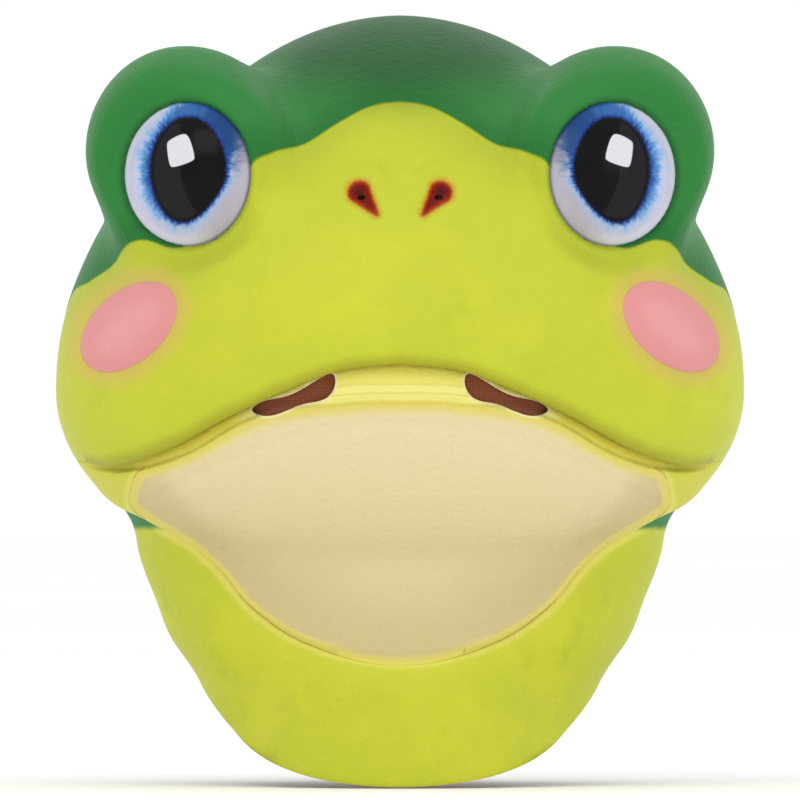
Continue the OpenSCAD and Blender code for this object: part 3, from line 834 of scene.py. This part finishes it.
def build_gauze(name, way, material):
    """A thin woven panel stretched behind one vision slot."""
    bm = new_sheets()
    for side in (0.0, 1.0):
        lay(bm, list(range(41)), list(range(25)), side)
    c, r, side = numbers(bm)
    u, v = c / 40, r / 24
    a, t = 9.5 + 19.5 * u, 0.83 + 0.23 * v
    p, n = jaw_inside(a, t)
    border = (c < 0.01) | (c > 39.99) | (r < 0.01) | (r > 23.99)
    height = -(WALL + 1.0) + np.where(border, 0, np.where(side > 0.5, -0.2, 0.2))
    set_points(bm, (p + n * height[:, None]) * (way, 1, 1))
    if way < 0:
        bmesh.ops.reverse_faces(bm, faces=bm.faces[:])
    obj = to_object(bm, name, [material])
    lay_out = obj.data.uv_layers.new(name="weave")
    q = corners(obj)
    for loop in obj.data.loops:
        k = q[loop.vertex_index]
        lay_out.data[loop.index].uv = ((abs(k[0]) - 18) / 40, (k[2] - 140) / 40)
    return obj


def build_strap(name, material):
    """A flat elastic band from anchor to anchor round the back of the head, its long edges rounded."""
    pts = np.array(STRAP_PATH, float)
    for _ in range(3):
        q = 0.75 * pts[:-1] + 0.25 * pts[1:]
        w = 0.25 * pts[:-1] + 0.75 * pts[1:]
        pts = np.concatenate([pts[:1], np.stack([q, w], 1).reshape(-1, 2), pts[-1:]])
    step = np.hypot(*np.diff(pts, axis=0).T)
    along = np.concatenate([[0], np.cumsum(step)])
    count = 120
    s = np.linspace(0, along[-1], count + 1)
    px, py = np.interp(s, along, pts[:, 0]), np.interp(s, along, pts[:, 1])
    tx, ty = np.gradient(px), np.gradient(py)
    size = np.hypot(tx, ty)
    nx, ny = -ty / size, tx / size
    bm = new_sheets()
    across = [0, 0.25, 1] + list(range(2, 15)) + [15, 15.75, 16]
    for side in (0.0, 1.0):
        lay(bm, list(range(count + 1)), across, side)
    c, r, side = numbers(bm)
    i = c.astype(int)
    v = r / 16
    border = (c < 0.01) | (c > count - 0.01) | (r < 0.01) | (r > 15.99)
    # the woven edge is a little fuller and the ends taper where they are glued
    half = np.where(border, 0, 0.72 + 0.08 * bell((np.minimum(v, 1 - v) - 0.06) / 0.05))
    off = np.where(side > 0.5, half, -half)
    wide = bpy.context.scene.frog_mask.band * 1000
    z = STRAP_Z + wide * (v - 0.5)
    set_points(bm, np.stack([px[i] + nx[i] * off, py[i] + ny[i] * off, z], -1))
    bmesh.ops.remove_doubles(bm, verts=bm.verts, dist=0.004)
    bmesh.ops.recalc_face_normals(bm, faces=bm.faces)
    obj = to_object(bm, name, [material])
    lay_out = obj.data.uv_layers.new(name="weave")
    q = corners(obj)
    near = [int(np.argmin((px - k[0]) ** 2 + (py - k[1]) ** 2)) for k in q]
    for loop in obj.data.loops:
        k = loop.vertex_index
        lay_out.data[loop.index].uv = (s[near[k]] / 100, (q[k][2] - STRAP_Z + 12.4) / 100)
    return obj


# ---- finishes ----
def add(tree, kind, inputs=None, **settings):
    """Adds a node, sets it, and fills or links its inputs."""
    node = tree.nodes.new(kind)
    for name, value in settings.items():
        setattr(node, name, value)
    for socket, value in (inputs or {}).items():
        if isinstance(value, bpy.types.NodeSocket):
            tree.links.new(value, node.inputs[socket])
        else:
            node.inputs[socket].default_value = value
    return node


def new_finish(name, **sockets):
    """A material with its shader's own sockets set."""
    material = bpy.data.materials.new(name)
    material.use_nodes = True
    shader = material.node_tree.nodes["Principled BSDF"]
    for socket, value in sockets.items():
        shader.inputs[socket.replace("_", " ")].default_value = value
    return material, material.node_tree, shader


def coat(tree, below, field, start, full, colour, strength, cloud=None, wobble=0.0, within=None):
    """Lays a colour over the one below, fading in as the field, in mm, goes from start to full. Its edge is
    shifted by wobble times the cloud of noise; with no field it fades in with the cloud itself."""
    value = cloud
    if field:
        value = add(tree, "ShaderNodeAttribute", attribute_name=field).outputs["Fac"]
        if cloud is not None:
            shift = add(tree, "ShaderNodeMath", {0: cloud, 1: 0.5}, operation="SUBTRACT").outputs[0]
            value = add(tree, "ShaderNodeMath", {0: shift, 1: wobble, 2: value},
                        operation="MULTIPLY_ADD").outputs[0]
    mask = add(tree, "ShaderNodeMapRange", {"Value": value, "From Min": start, "From Max": full,
                                            "To Max": strength}, interpolation_type="SMOOTHSTEP").outputs[0]
    if within:
        depth = add(tree, "ShaderNodeAttribute", attribute_name=within).outputs["Fac"]
        gate = add(tree, "ShaderNodeMapRange", {"Value": depth, "From Min": -0.8, "From Max": -1.8},
                   interpolation_type="SMOOTHSTEP").outputs[0]
        mask = add(tree, "ShaderNodeMath", {0: mask, 1: gate}, operation="MULTIPLY").outputs[0]
    return add(tree, "ShaderNodeMix", {0: mask, 6: below, 7: colour_of(colour)}, data_type="RGBA").outputs[2]


def paint(tree, shader, ground, coats):
    """Lays coats over a ground, each (field or None, start, full, colour, strength, wobble, grain in mm)."""
    place = add(tree, "ShaderNodeTexCoord").outputs["Object"]
    shade = colour_of(ground)
    for *laid, wobble, size in coats:
        cloud = add(tree, "ShaderNodeTexNoise", {"Vector": place, "Scale": 1000 / size, "Detail": 4.0,
                                                 "Roughness": 0.6}).outputs["Fac"]
        shade = coat(tree, shade, *laid, cloud, wobble)
    tree.links.new(shade, shader.inputs["Base Color"])


def grain(tree, shader, *patterns):
    """Bump from stacked noises, each (size in mm, depth in mm, detail)."""
    place = add(tree, "ShaderNodeTexCoord").outputs["Object"]
    normal, pebble = None, bpy.context.scene.frog_mask.pebble * 0.001
    for size, depth, detail in patterns:
        noise = add(tree, "ShaderNodeTexNoise", {"Vector": place, "Scale": 1000 / size, "Detail": detail})
        bump = add(tree, "ShaderNodeBump", {"Height": noise.outputs["Fac"], "Distance": depth * pebble,
                                            "Strength": 1.0})
        if normal is not None:
            tree.links.new(normal, bump.inputs["Normal"])
        normal = bump.outputs["Normal"]
    tree.links.new(normal, shader.inputs["Normal"])


def head_latex():
    # natural-rubber latex, slush-moulded and hand-painted: satin, finely pebbled, airbrushed edges
    m, tree, shader = new_finish("Painted latex of the head", Roughness=0.44, Specular_IOR_Level=0.14)
    paint(tree, shader, "lime #BDC434", [
        (None, 0.42, 0.68, "lime #C8CC36", 0.7, 0, 46),
        (None, 0.56, 0.75, "lime #AFBC30", 0.6, 0, 30),
        # painted shade: the lime darkened towards the lip's edge, where the lip rolls under
        ("lip", 26, 4, "lime #B8C233", 0.5, 8, 18),
        ("lip", 6, 0.5, "lime #9E9B24", 0.75, 2.5, 9),
        ("line", -26, 0, "lime #A9B52E", 0.7, 6, 20),
        ("cheek", 9, 0.8, "blush #D1A765", 0.5, 2.0, 9),
        ("cheek", 0.35, -0.1, "blush #C78C7C", 0.7, 0.15, 4),
        ("cheek", -0.3, -0.7, "blush #D98F8E", 1.0, 0.15, 4),
        ("cheek", -3, -13, "blush #E09B9A", 0.8, 3, 14),
        ("nostril", 3.0, 0.2, "#C07A20", 0.6, 2.0, 3),
        ("nostril", 1.0, -0.5, "#A82010", 0.95, 1.2, 2.4),
        ("nostril", -0.3, -1.6, "#750F05", 0.95, 1.4, 2.2),
        # painted shade: near-black deepest in each red pit, round the breathing hole
        ("nostril", -1.8, -3.4, "#420B05", 0.75, 1.4, 2.2),
        ("line", -0.7, 0.1, "green #4F7A1C", 0.8, 0.25, 3),
        ("line", 0.05, 0.45, "green #237030", 1.0, 0.25, 3),
        ("line", 2, 16, "green #2E7D38", 0.85, 5, 16),
        # painted shade: the crown darkened where the top of the head turns up, away from the light
        ("crown", 4, -22, "green #184E21", 0.85, 8, 24),
        # painted shade: the green darkened where the brow curves down into each lens's socket
        ("socket", 31.6, 29.0, "green #123C1A", 0.3, 0.8, 5),
    ])
    grain(tree, shader, (3.2, 0.42, 2.0), (1.3, 0.34, 3.0))
    return m


def jaw_latex():
    # the same slush-moulded latex; the cream of the throat has a wrinkled-leather print
    m, tree, shader = new_finish("Painted latex of the jaw and bib", Roughness=0.5,
                                 Specular_IOR_Level=0.14)
    paint(tree, shader, "lime #BCC334", [
        (None, 0.42, 0.66, "lime #C6C934", 0.8, 0, 34),
        (None, 0.55, 0.75, "lime #A6B52E", 0.6, 0, 22),
        # painted shade: the sides lighter, so the middle of the bib under the chin stays darker
        ("side", 38, 92, "lime #DAD740", 0.85, 12, 20),
        # painted highlight: a lighter strip on the bib just under the chin's crease and on the chin's rolled
        # edge over it
        ("chin", -16, 0, "lime #C9CE42", 0.6, 4, 12),
        ("chin", 0, 3, "lime #CCCB48", 0.9, 1, 8),
        ("cream", 3.4, 0.6, "cream #DDD763", 0.9, 1.0, 7),
        ("cream", 0.3, -1.0, "cream #DACB66", 1.0, 0.6, 5),
        ("cream", -1.6, -7, "cream #DFD0A3", 1.0, 2.0, 9),
        ("cream", -10, -30, "cream #DECFA0", 0.8, 8, 22),
        # painted shade: the cream darker towards the bottom of the throat, which faces down
        ("throat", 46, 8, "cream #C7B785", 0.9, 6, 22),
        ("web", -0.3, 0.5, "cream #E9E180", 1.0, 0.4, 5),
        # painted shade: thin dark lines along the web's fine folds, each closed by a coat of the web's own
        # yellow
        ("web", 2.2, 2.7, "cream #CFC765", 0.6, 0.5, 6),
        ("web", 2.8, 3.6, "cream #EAE282", 1.0, 0.5, 6),
        ("web", 5.6, 6.1, "cream #D3CB5E", 0.6, 0.5, 7),
        ("web", 6.3, 7.4, "cream #E4DB6A", 1.0, 0.5, 7),
        # painted shade: the web darker up under the lip's overhang
        ("web", 8, 13, "lime #C9C242", 0.8, 1.5, 7),
        ("strip", -4, 3, "lime #DBD240", 0.9, 3, 8),
        ("green", -1.8, 1.2, "green #1F7A34", 1.0, 2.2, 7),
        ("slot", 1.3, 0.6, "cream #E4DDA6", 0.9, 0.4, 3),
        # painted shade: a dark line in the crease under the chin
        ("crease", 0.8, 0.1, "#86792A", 0.65, 0.3, 4),
        ("cream_edge", 0.6, 0.1, "#8F843C", 0.55, 0.2, 4),
        # painted shade: a dark line right under the lip's edge
        ("lip", -2.2, 1.5, "lime #B3AA28", 0.7, 1, 6),
    ])
    grain(tree, shader, (3.4, 0.35, 2.0), (1.6, 0.6, 4.0))
    return m


def raw_latex(name, hexes):
    # unpainted latex as it left the mould: amber, waxy, slightly streaked
    m, tree, shader = new_finish(name, Roughness=0.46, Specular_IOR_Level=0.45)
    paint(tree, shader, hexes[0], [(None, 0.4, 0.7, hexes[1], 0.8, 0, 18),
                                   (None, 0.55, 0.8, hexes[2], 0.7, 0, 7)])
    grain(tree, shader, (7.0, 0.2, 2.0), (1.5, 0.08, 2.0))
    return m


def lens_print():
    # printed iris under a clear cast dome: deep gloss over a soft matte print
    m, tree, shader = new_finish("Clear dome over a printed iris", Roughness=0.2, IOR=1.46,
                                 Specular_IOR_Level=0.12)
    ray = add(tree, "ShaderNodeAttribute", attribute_name="streak").outputs["Vector"]
    wide, thin = (add(tree, "ShaderNodeTexNoise", {"Vector": ray, "Scale": scale, "Detail": 3.0,
                                                   "Roughness": 0.65}).outputs["Fac"] for scale in (9, 26))
    shade = colour_of("#E2E4EE")
    for laid in (("rim_gap", 30, 0, "#BDB9D2", 1.0, wide, 0.0),
                 ("rim_gap", 7, 1.5, "#DADAE8", 0.8, wide, 6.0),
                 ("inner", -2, 15, "#A79EAA", 0.75, wide, 7.0),
                 ("iris", 4.0, -1.5, "blue #8FB4DC", 0.75, wide, 9.0),
                 ("iris", 1.0, -3.0, "blue #4C8CD0", 0.9, wide, 8.0),
                 ("iris", -0.4, -4.0, "blue #255494", 0.8, thin, 8.0),
                 ("navy", 0.3, -0.6, "blue #163B70", 0.85, wide, 1.3),
                 ("pupil", 2.2, 0.5, "blue #1B3F8E", 0.9, thin, 4.2),
                 ("pupil", 1.0, 0.1, "blue #121B40", 0.95, thin, 2.8),
                 ("pupil", 0.3, -0.5, "#09090B", 1.0, thin, 1.6),
                 # painted reflection on the paler half of the pupil, painted highlight, and a dark line of
                 # painted shade at the rim's gap
                 ("lobe", 0.3, -0.3, "#1D1B1E", 1.0, None, 0.0, "pupil"),
                 ("glint", 0.2, -0.2, "#D2D0D6", 1.0),
                 ("rim_gap", 1.5, 0.5, "#33466E", 0.5)):
        shade = coat(tree, shade, *laid)
    tree.links.new(shade, shader.inputs["Base Color"])
    return m


def pad_foam():
    # open-cell polyurethane foam, cut and skived: matte, crumbly pores, drawn coarse enough to show
    m, tree, shader = new_finish("Open-cell pad foam", Roughness=0.95, Specular_IOR_Level=0.2)
    place = add(tree, "ShaderNodeTexCoord").outputs["Object"]
    pores = add(tree, "ShaderNodeTexVoronoi", {"Vector": place, "Scale": 1000 / 1.4}).outputs["Distance"]
    mask = add(tree, "ShaderNodeMapRange", {"Value": pores, "From Min": 0.15, "From Max": 0.6}).outputs[0]
    mix = add(tree, "ShaderNodeMix", {0: mask, 6: colour_of("#4B453F"), 7: colour_of("#8C8377")},
              data_type="RGBA")
    tree.links.new(mix.outputs[2], shader.inputs["Base Color"])
    bump = add(tree, "ShaderNodeBump", {"Height": pores, "Distance": 0.0006})
    tree.links.new(bump.outputs["Normal"], shader.inputs["Normal"])
    return m


def webbing(name, dark, light, rib, across, width=100.0):
    # woven textile: ribs of thread that catch a soft sheen; width is what one unit of the layout spans, in mm
    m, tree, shader = new_finish(name, Roughness=0.8, Sheen_Weight=0.35, Specular_IOR_Level=0.25)
    uv = add(tree, "ShaderNodeUVMap", uv_map="weave").outputs[0]
    waves = []
    for way, size in (("X", rib), ("Y", across)):
        waves.append(add(tree, "ShaderNodeTexWave", {"Vector": uv, "Scale": width / size / math.pi},
                         wave_type="BANDS", bands_direction=way).outputs["Fac"])
    weave = add(tree, "ShaderNodeMath", {0: waves[0], 1: waves[1]}, operation="MULTIPLY").outputs[0]
    mix = add(tree, "ShaderNodeMix", {0: weave, 6: colour_of(dark), 7: colour_of(light)}, data_type="RGBA")
    tree.links.new(mix.outputs[2], shader.inputs["Base Color"])
    bump = add(tree, "ShaderNodeBump", {"Height": weave, "Distance": 0.0003})
    tree.links.new(bump.outputs["Normal"], shader.inputs["Normal"])
    return m


def moulded(name, dark, light, roughness, size):
    # injection-moulded plastic: even colour with a fine satin texture from the tool
    m, tree, shader = new_finish(name, Roughness=roughness, IOR=1.49)
    paint(tree, shader, dark, [(None, 0.35, 0.7, light, 0.8, 0, size)])
    grain(tree, shader, (0.9, 0.03, 2.0))
    return m


def studio_paper():
    # seamless paper: matte and very slightly fibrous
    m, tree, shader = new_finish("Pale seamless paper", Roughness=0.9, Specular_IOR_Level=0.1)
    paint(tree, shader, "#FFFFFF", [(None, 0.3, 0.7, "#FDFDFD", 1.0, 0, 900)])
    return m


def finish_named(name, make, *given):
    """The finish of that name, made when first asked for."""
    return bpy.data.materials.get(name) or make(*given)


def head_finishes():
    """Painted latex outside and raw latex inside."""
    return [finish_named("Painted latex of the head", head_latex),
            finish_named("Raw latex inside", raw_latex, "Raw latex inside",
                         ("#C2A574", "#B5945F", "#CDB387"))]


def carry(node, material):
    """Gives a CAD node kept as it is a finish for all its slots."""
    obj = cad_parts[node]
    if not obj.material_slots:
        obj.data.materials.append(material)
    for slot in obj.material_slots:
        slot.material = material


# ---- settings, operators and panel ----
# the widest section of the head, in front of the origin, and the height of the head's middle, in metres
MIDDLE, MIDDLE_HEIGHT = 0.045, 0.1535


def dye(family, about):
    """A colour setting that starts at its family's own colour."""
    return bpy.props.FloatVectorProperty(name=family.title(), subtype="COLOR", min=0, max=1,
                                         default=linear(DYES[family])[:3], description=about)


class FrogMaskSizes(bpy.types.PropertyGroup):
    """Sizes and colours that a user would change."""

    lime: dye("lime", "Paint of the face and bib")
    green: dye("green", "Paint of the hood")
    cream: dye("cream", "Paint of the throat")
    blush: dye("blush", "Paint of the cheeks")
    blue: dye("blue", "Ink of the irises")
    dome: bpy.props.FloatProperty(name="Dome height", unit="LENGTH", default=LENS_CROWN / 1000, min=0.006,
                                  max=0.02, description="How far each lens stands over its rim")
    band: bpy.props.FloatProperty(name="Strap width", unit="LENGTH", default=0.0248, min=0.015, max=0.04,
                                  description="Width of the elastic strap")
    pebble: bpy.props.FloatProperty(name="Pebble", default=1.0, min=0, max=3,
                                    description="Depth of the latex's pebbled grain against the usual")
    camera_distance: bpy.props.FloatProperty(name="Camera distance", unit="LENGTH", default=8.0,
                                             description="Distance from the origin to the camera")
    frame_width: bpy.props.FloatProperty(name="Framed width", unit="LENGTH", default=0.319,
                                         description="Width of the picture at the middle of the head")
    light: bpy.props.FloatProperty(name="Key light", default=9.0, subtype="POWER",
                                   description="Power of the soft light over the face")


class MASK_OT_upper_skin(bpy.types.Operator):
    """Hood, face and nape as one painted latex skin with rolled lip, sockets, cheeks and nostrils"""

    bl_idname = "frogmask.upper_skin"
    bl_label = "Upper skin"

    def execute(self, context):
        obj = build_upper_skin(head_finishes())
        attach(obj, "head")
        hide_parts("hood_shell", "face_shell", "nape_shell", "cheek_patch_left", "cheek_patch_right")
        return {"FINISHED"}


class MASK_OT_jaw_skin(bpy.types.Operator):
    """Jaw, web behind the lip and bib as one skin that bends at the mouth's corners"""

    bl_idname = "frogmask.jaw_skin"
    bl_label = "Jaw and bib skin"

    def execute(self, context):
        finishes = [finish_named("Painted latex of the jaw and bib", jaw_latex), head_finishes()[1]]
        obj = build_jaw_skin(finishes)
        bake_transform(obj, "head", "jaw", start=(0, 0.006, 0.1), end=(0, -0.042, 0.1))
        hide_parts("jaw_shell", "collar_front")
        return {"FINISHED"}


class MASK_OT_flaps(bpy.types.Operator):
    """The two flaps of the rear slit, bending along their slanting hinges"""

    bl_idname = "frogmask.flaps"
    bl_label = "Rear flaps"

    def execute(self, context):
        halfway = SLIT_REACH / 2
        for side, way in (("left", -1), ("right", 1)):
            obj = build_flap("rear_flap_" + side, way, head_finishes())
            start = Vector((halfway * way, 95, SLIT_TOP - FLAP_DROP * halfway)) * 0.001
            slant = Vector((-way, 0, -1 / FLAP_DROP))
            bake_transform(obj, "head", "flap_" + side, start=start, end=start + slant.normalized() * 0.010)
            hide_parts("neck_flap_" + side)
        return {"FINISHED"}


class MASK_OT_eyes(bpy.types.Operator):
    """Two domed lenses with printed irises, and the cups behind them"""

    bl_idname = "frogmask.eyes"
    bl_label = "Eyes"

    def execute(self, context):
        cup = finish_named("Moulded green cup", moulded, "Moulded green cup", "#16301C", "#1D3B22", 0.5, 6.0)
        for side, way in (("left", -1), ("right", 1)):
            obj = build_eye("eye_" + side, way, finish_named("Clear dome over a printed iris", lens_print))
            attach(obj, "head")
            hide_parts("eye_dome_" + side, "eye_print_" + side)
            carry("eye_cup_" + side, cup)
        return {"FINISHED"}


class MASK_OT_pads(bpy.types.Operator):
    """Foam pads inside the crown, brow, sides and chin"""

    bl_idname = "frogmask.pads"
    bl_label = "Foam pads"

    def execute(self, context):
        foam = finish_named("Open-cell pad foam", pad_foam)
        made = [(build_crown_pad("pad_crown", foam), "crown_pad", "head"),
                (build_pad("pad_brow", -22, 22, 206, 232, 3.6, 9.6, foam), "brow_pad", "head"),
                (build_pad("pad_side_right", 72, 99, 174, 216, 3.6, 9.6, foam), "side_pad_right", "head"),
                (build_pad("pad_side_left", -99, -72, 174, 216, 3.6, 9.6, foam), "side_pad_left", "head"),
                (build_pad("pad_chin", -20, 20, 0.18, 0.5, 2.6, 9.6, foam, follow=jaw_inside),
                 "chin_pad", "jaw")]
        for obj, node, body in made:
            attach(obj, body)
            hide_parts(node)
        return {"FINISHED"}


class MASK_OT_strap(bpy.types.Operator):
    """Elastic head strap with its slider, glued anchors and the patch over the slit"""

    bl_idname = "frogmask.strap"
    bl_label = "Strap and patches"

    def execute(self, context):
        band = finish_named("Woven elastic band", webbing, "Woven elastic band", "#121214", "#34343A",
                            1.0, 1.3)
        patch = finish_named("Raw latex patch", raw_latex, "Raw latex patch",
                             ("#B99563", "#A98450", "#C7A677"))
        obj = build_strap("elastic_strap", band)
        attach(obj, "head")
        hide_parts("head_strap")
        for side, way in (("right", 1), ("left", -1)):
            obj = build_pad("anchor_" + side, 112 * way - 9, 112 * way + 9, 184.5, 207.5, WALL + 0.9, 1.7,
                            patch, cells=(26, 26), power=8)
            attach(obj, "head")
            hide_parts("strap_anchor_" + side)
        obj = build_pad("slit_reinforcement", 174, 186, 108, 119, WALL + 0.1, 1.5, patch, cells=(24, 18),
                        power=8)
        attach(obj, "head")
        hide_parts("slit_patch")
        carry("strap_slider", finish_named("Moulded black slider", moulded, "Moulded black slider",
                                           "#141416", "#1C1C20", 0.38, 4.0))
        return {"FINISHED"}


class MASK_OT_gauze(bpy.types.Operator):
    """See-through gauze stretched behind the two vision slots"""

    bl_idname = "frogmask.gauze"
    bl_label = "Vision gauze"

    def execute(self, context):
        cloth = finish_named("Brown plain-weave gauze", webbing, "Brown plain-weave gauze", "#7E3D22",
                             "#B8683F", 0.9, 0.9, 40.0)
        for side, way in (("left", -1), ("right", 1)):
            obj = build_gauze("gauze_" + side, way, cloth)
            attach(obj, "jaw")
            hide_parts("vision_gauze_" + side)
        return {"FINISHED"}


class MASK_OT_stage(bpy.types.Operator):
    """Pale floor, soft lights and the camera"""

    bl_idname = "frogmask.stage"
    bl_label = "Stage"

    def execute(self, context):
        sizes = context.scene.frog_mask
        bm = bmesh.new()
        bmesh.ops.create_circle(bm, cap_ends=True, segments=128, radius=14.0)
        mesh = bpy.data.meshes.new("paper_floor")
        bmesh.ops.translate(bm, verts=bm.verts, vec=(0, 0, -0.0006))
        bm.to_mesh(mesh)
        bm.free()
        mesh.materials.append(studio_paper())
        floor = link(bpy.data.objects.new("paper_floor", mesh))
        world = bpy.data.worlds.new("Even white studio")
        world.use_nodes = True
        world.node_tree.nodes["Background"].inputs["Color"].default_value = (1, 1, 1, 1)
        world.node_tree.nodes["Background"].inputs["Strength"].default_value = 1.0
        context.scene.world = world
        for name, place, size, power in (("Key softbox", (-0.7, -2.0, 1.9), 1.3, sizes.light * 1.1),
                                         ("Fill softbox", (1.6, -1.8, 0.9), 1.2, sizes.light * 0.5),
                                         ("Top softbox", (0.2, 0.5, 2.0), 1.4, sizes.light * 0.15)):
            light = bpy.data.lights.new(name, "AREA")
            light.size, light.energy = size, power
            lamp = link(bpy.data.objects.new(name, light))
            lamp.location = place
            aim_at = Vector((0, -0.02, 0.17)) - Vector(place)
            lamp.rotation_euler = aim_at.to_track_quat("-Z", "Y").to_euler()
        camera = bpy.data.cameras.new("Level camera")
        camera.sensor_width = 36
        camera.lens = 36 * (sizes.camera_distance - MIDDLE) / sizes.frame_width
        view = link(bpy.data.objects.new("Level camera", camera))
        view.location = (0, -sizes.camera_distance, MIDDLE_HEIGHT)
        view.rotation_euler = (math.pi / 2, 0, 0)
        context.scene.camera = view
        context.scene.view_settings.view_transform = "Standard"
        return {"FINISHED"}


class MASK_PT_panel(bpy.types.Panel):
    """Lists the mask's pieces in the sidebar"""

    bl_label = "Frog mask"
    bl_idname = "MASK_PT_panel"
    bl_space_type = "VIEW_3D"
    bl_region_type = "UI"
    bl_category = "Frog mask"

    def draw(self, context):
        for name in FrogMaskSizes.__annotations__:
            self.layout.prop(context.scene.frog_mask, name)
        for step in STEPS:
            self.layout.operator(step.bl_idname)


STEPS = (MASK_OT_upper_skin, MASK_OT_jaw_skin, MASK_OT_flaps, MASK_OT_eyes, MASK_OT_pads, MASK_OT_strap,
         MASK_OT_gauze, MASK_OT_stage)


def register():
    for part in (FrogMaskSizes, *STEPS, MASK_PT_panel):
        bpy.utils.register_class(part)
    bpy.types.Scene.frog_mask = bpy.props.PointerProperty(type=FrogMaskSizes)


def unregister():
    del bpy.types.Scene.frog_mask
    for part in (MASK_PT_panel, *STEPS[::-1], FrogMaskSizes):
        bpy.utils.unregister_class(part)


def main():
    register()
    for step in STEPS:
        group, name = step.bl_idname.split(".")
        getattr(getattr(bpy.ops, group), name)()


if __name__ == "__main__":
    main()
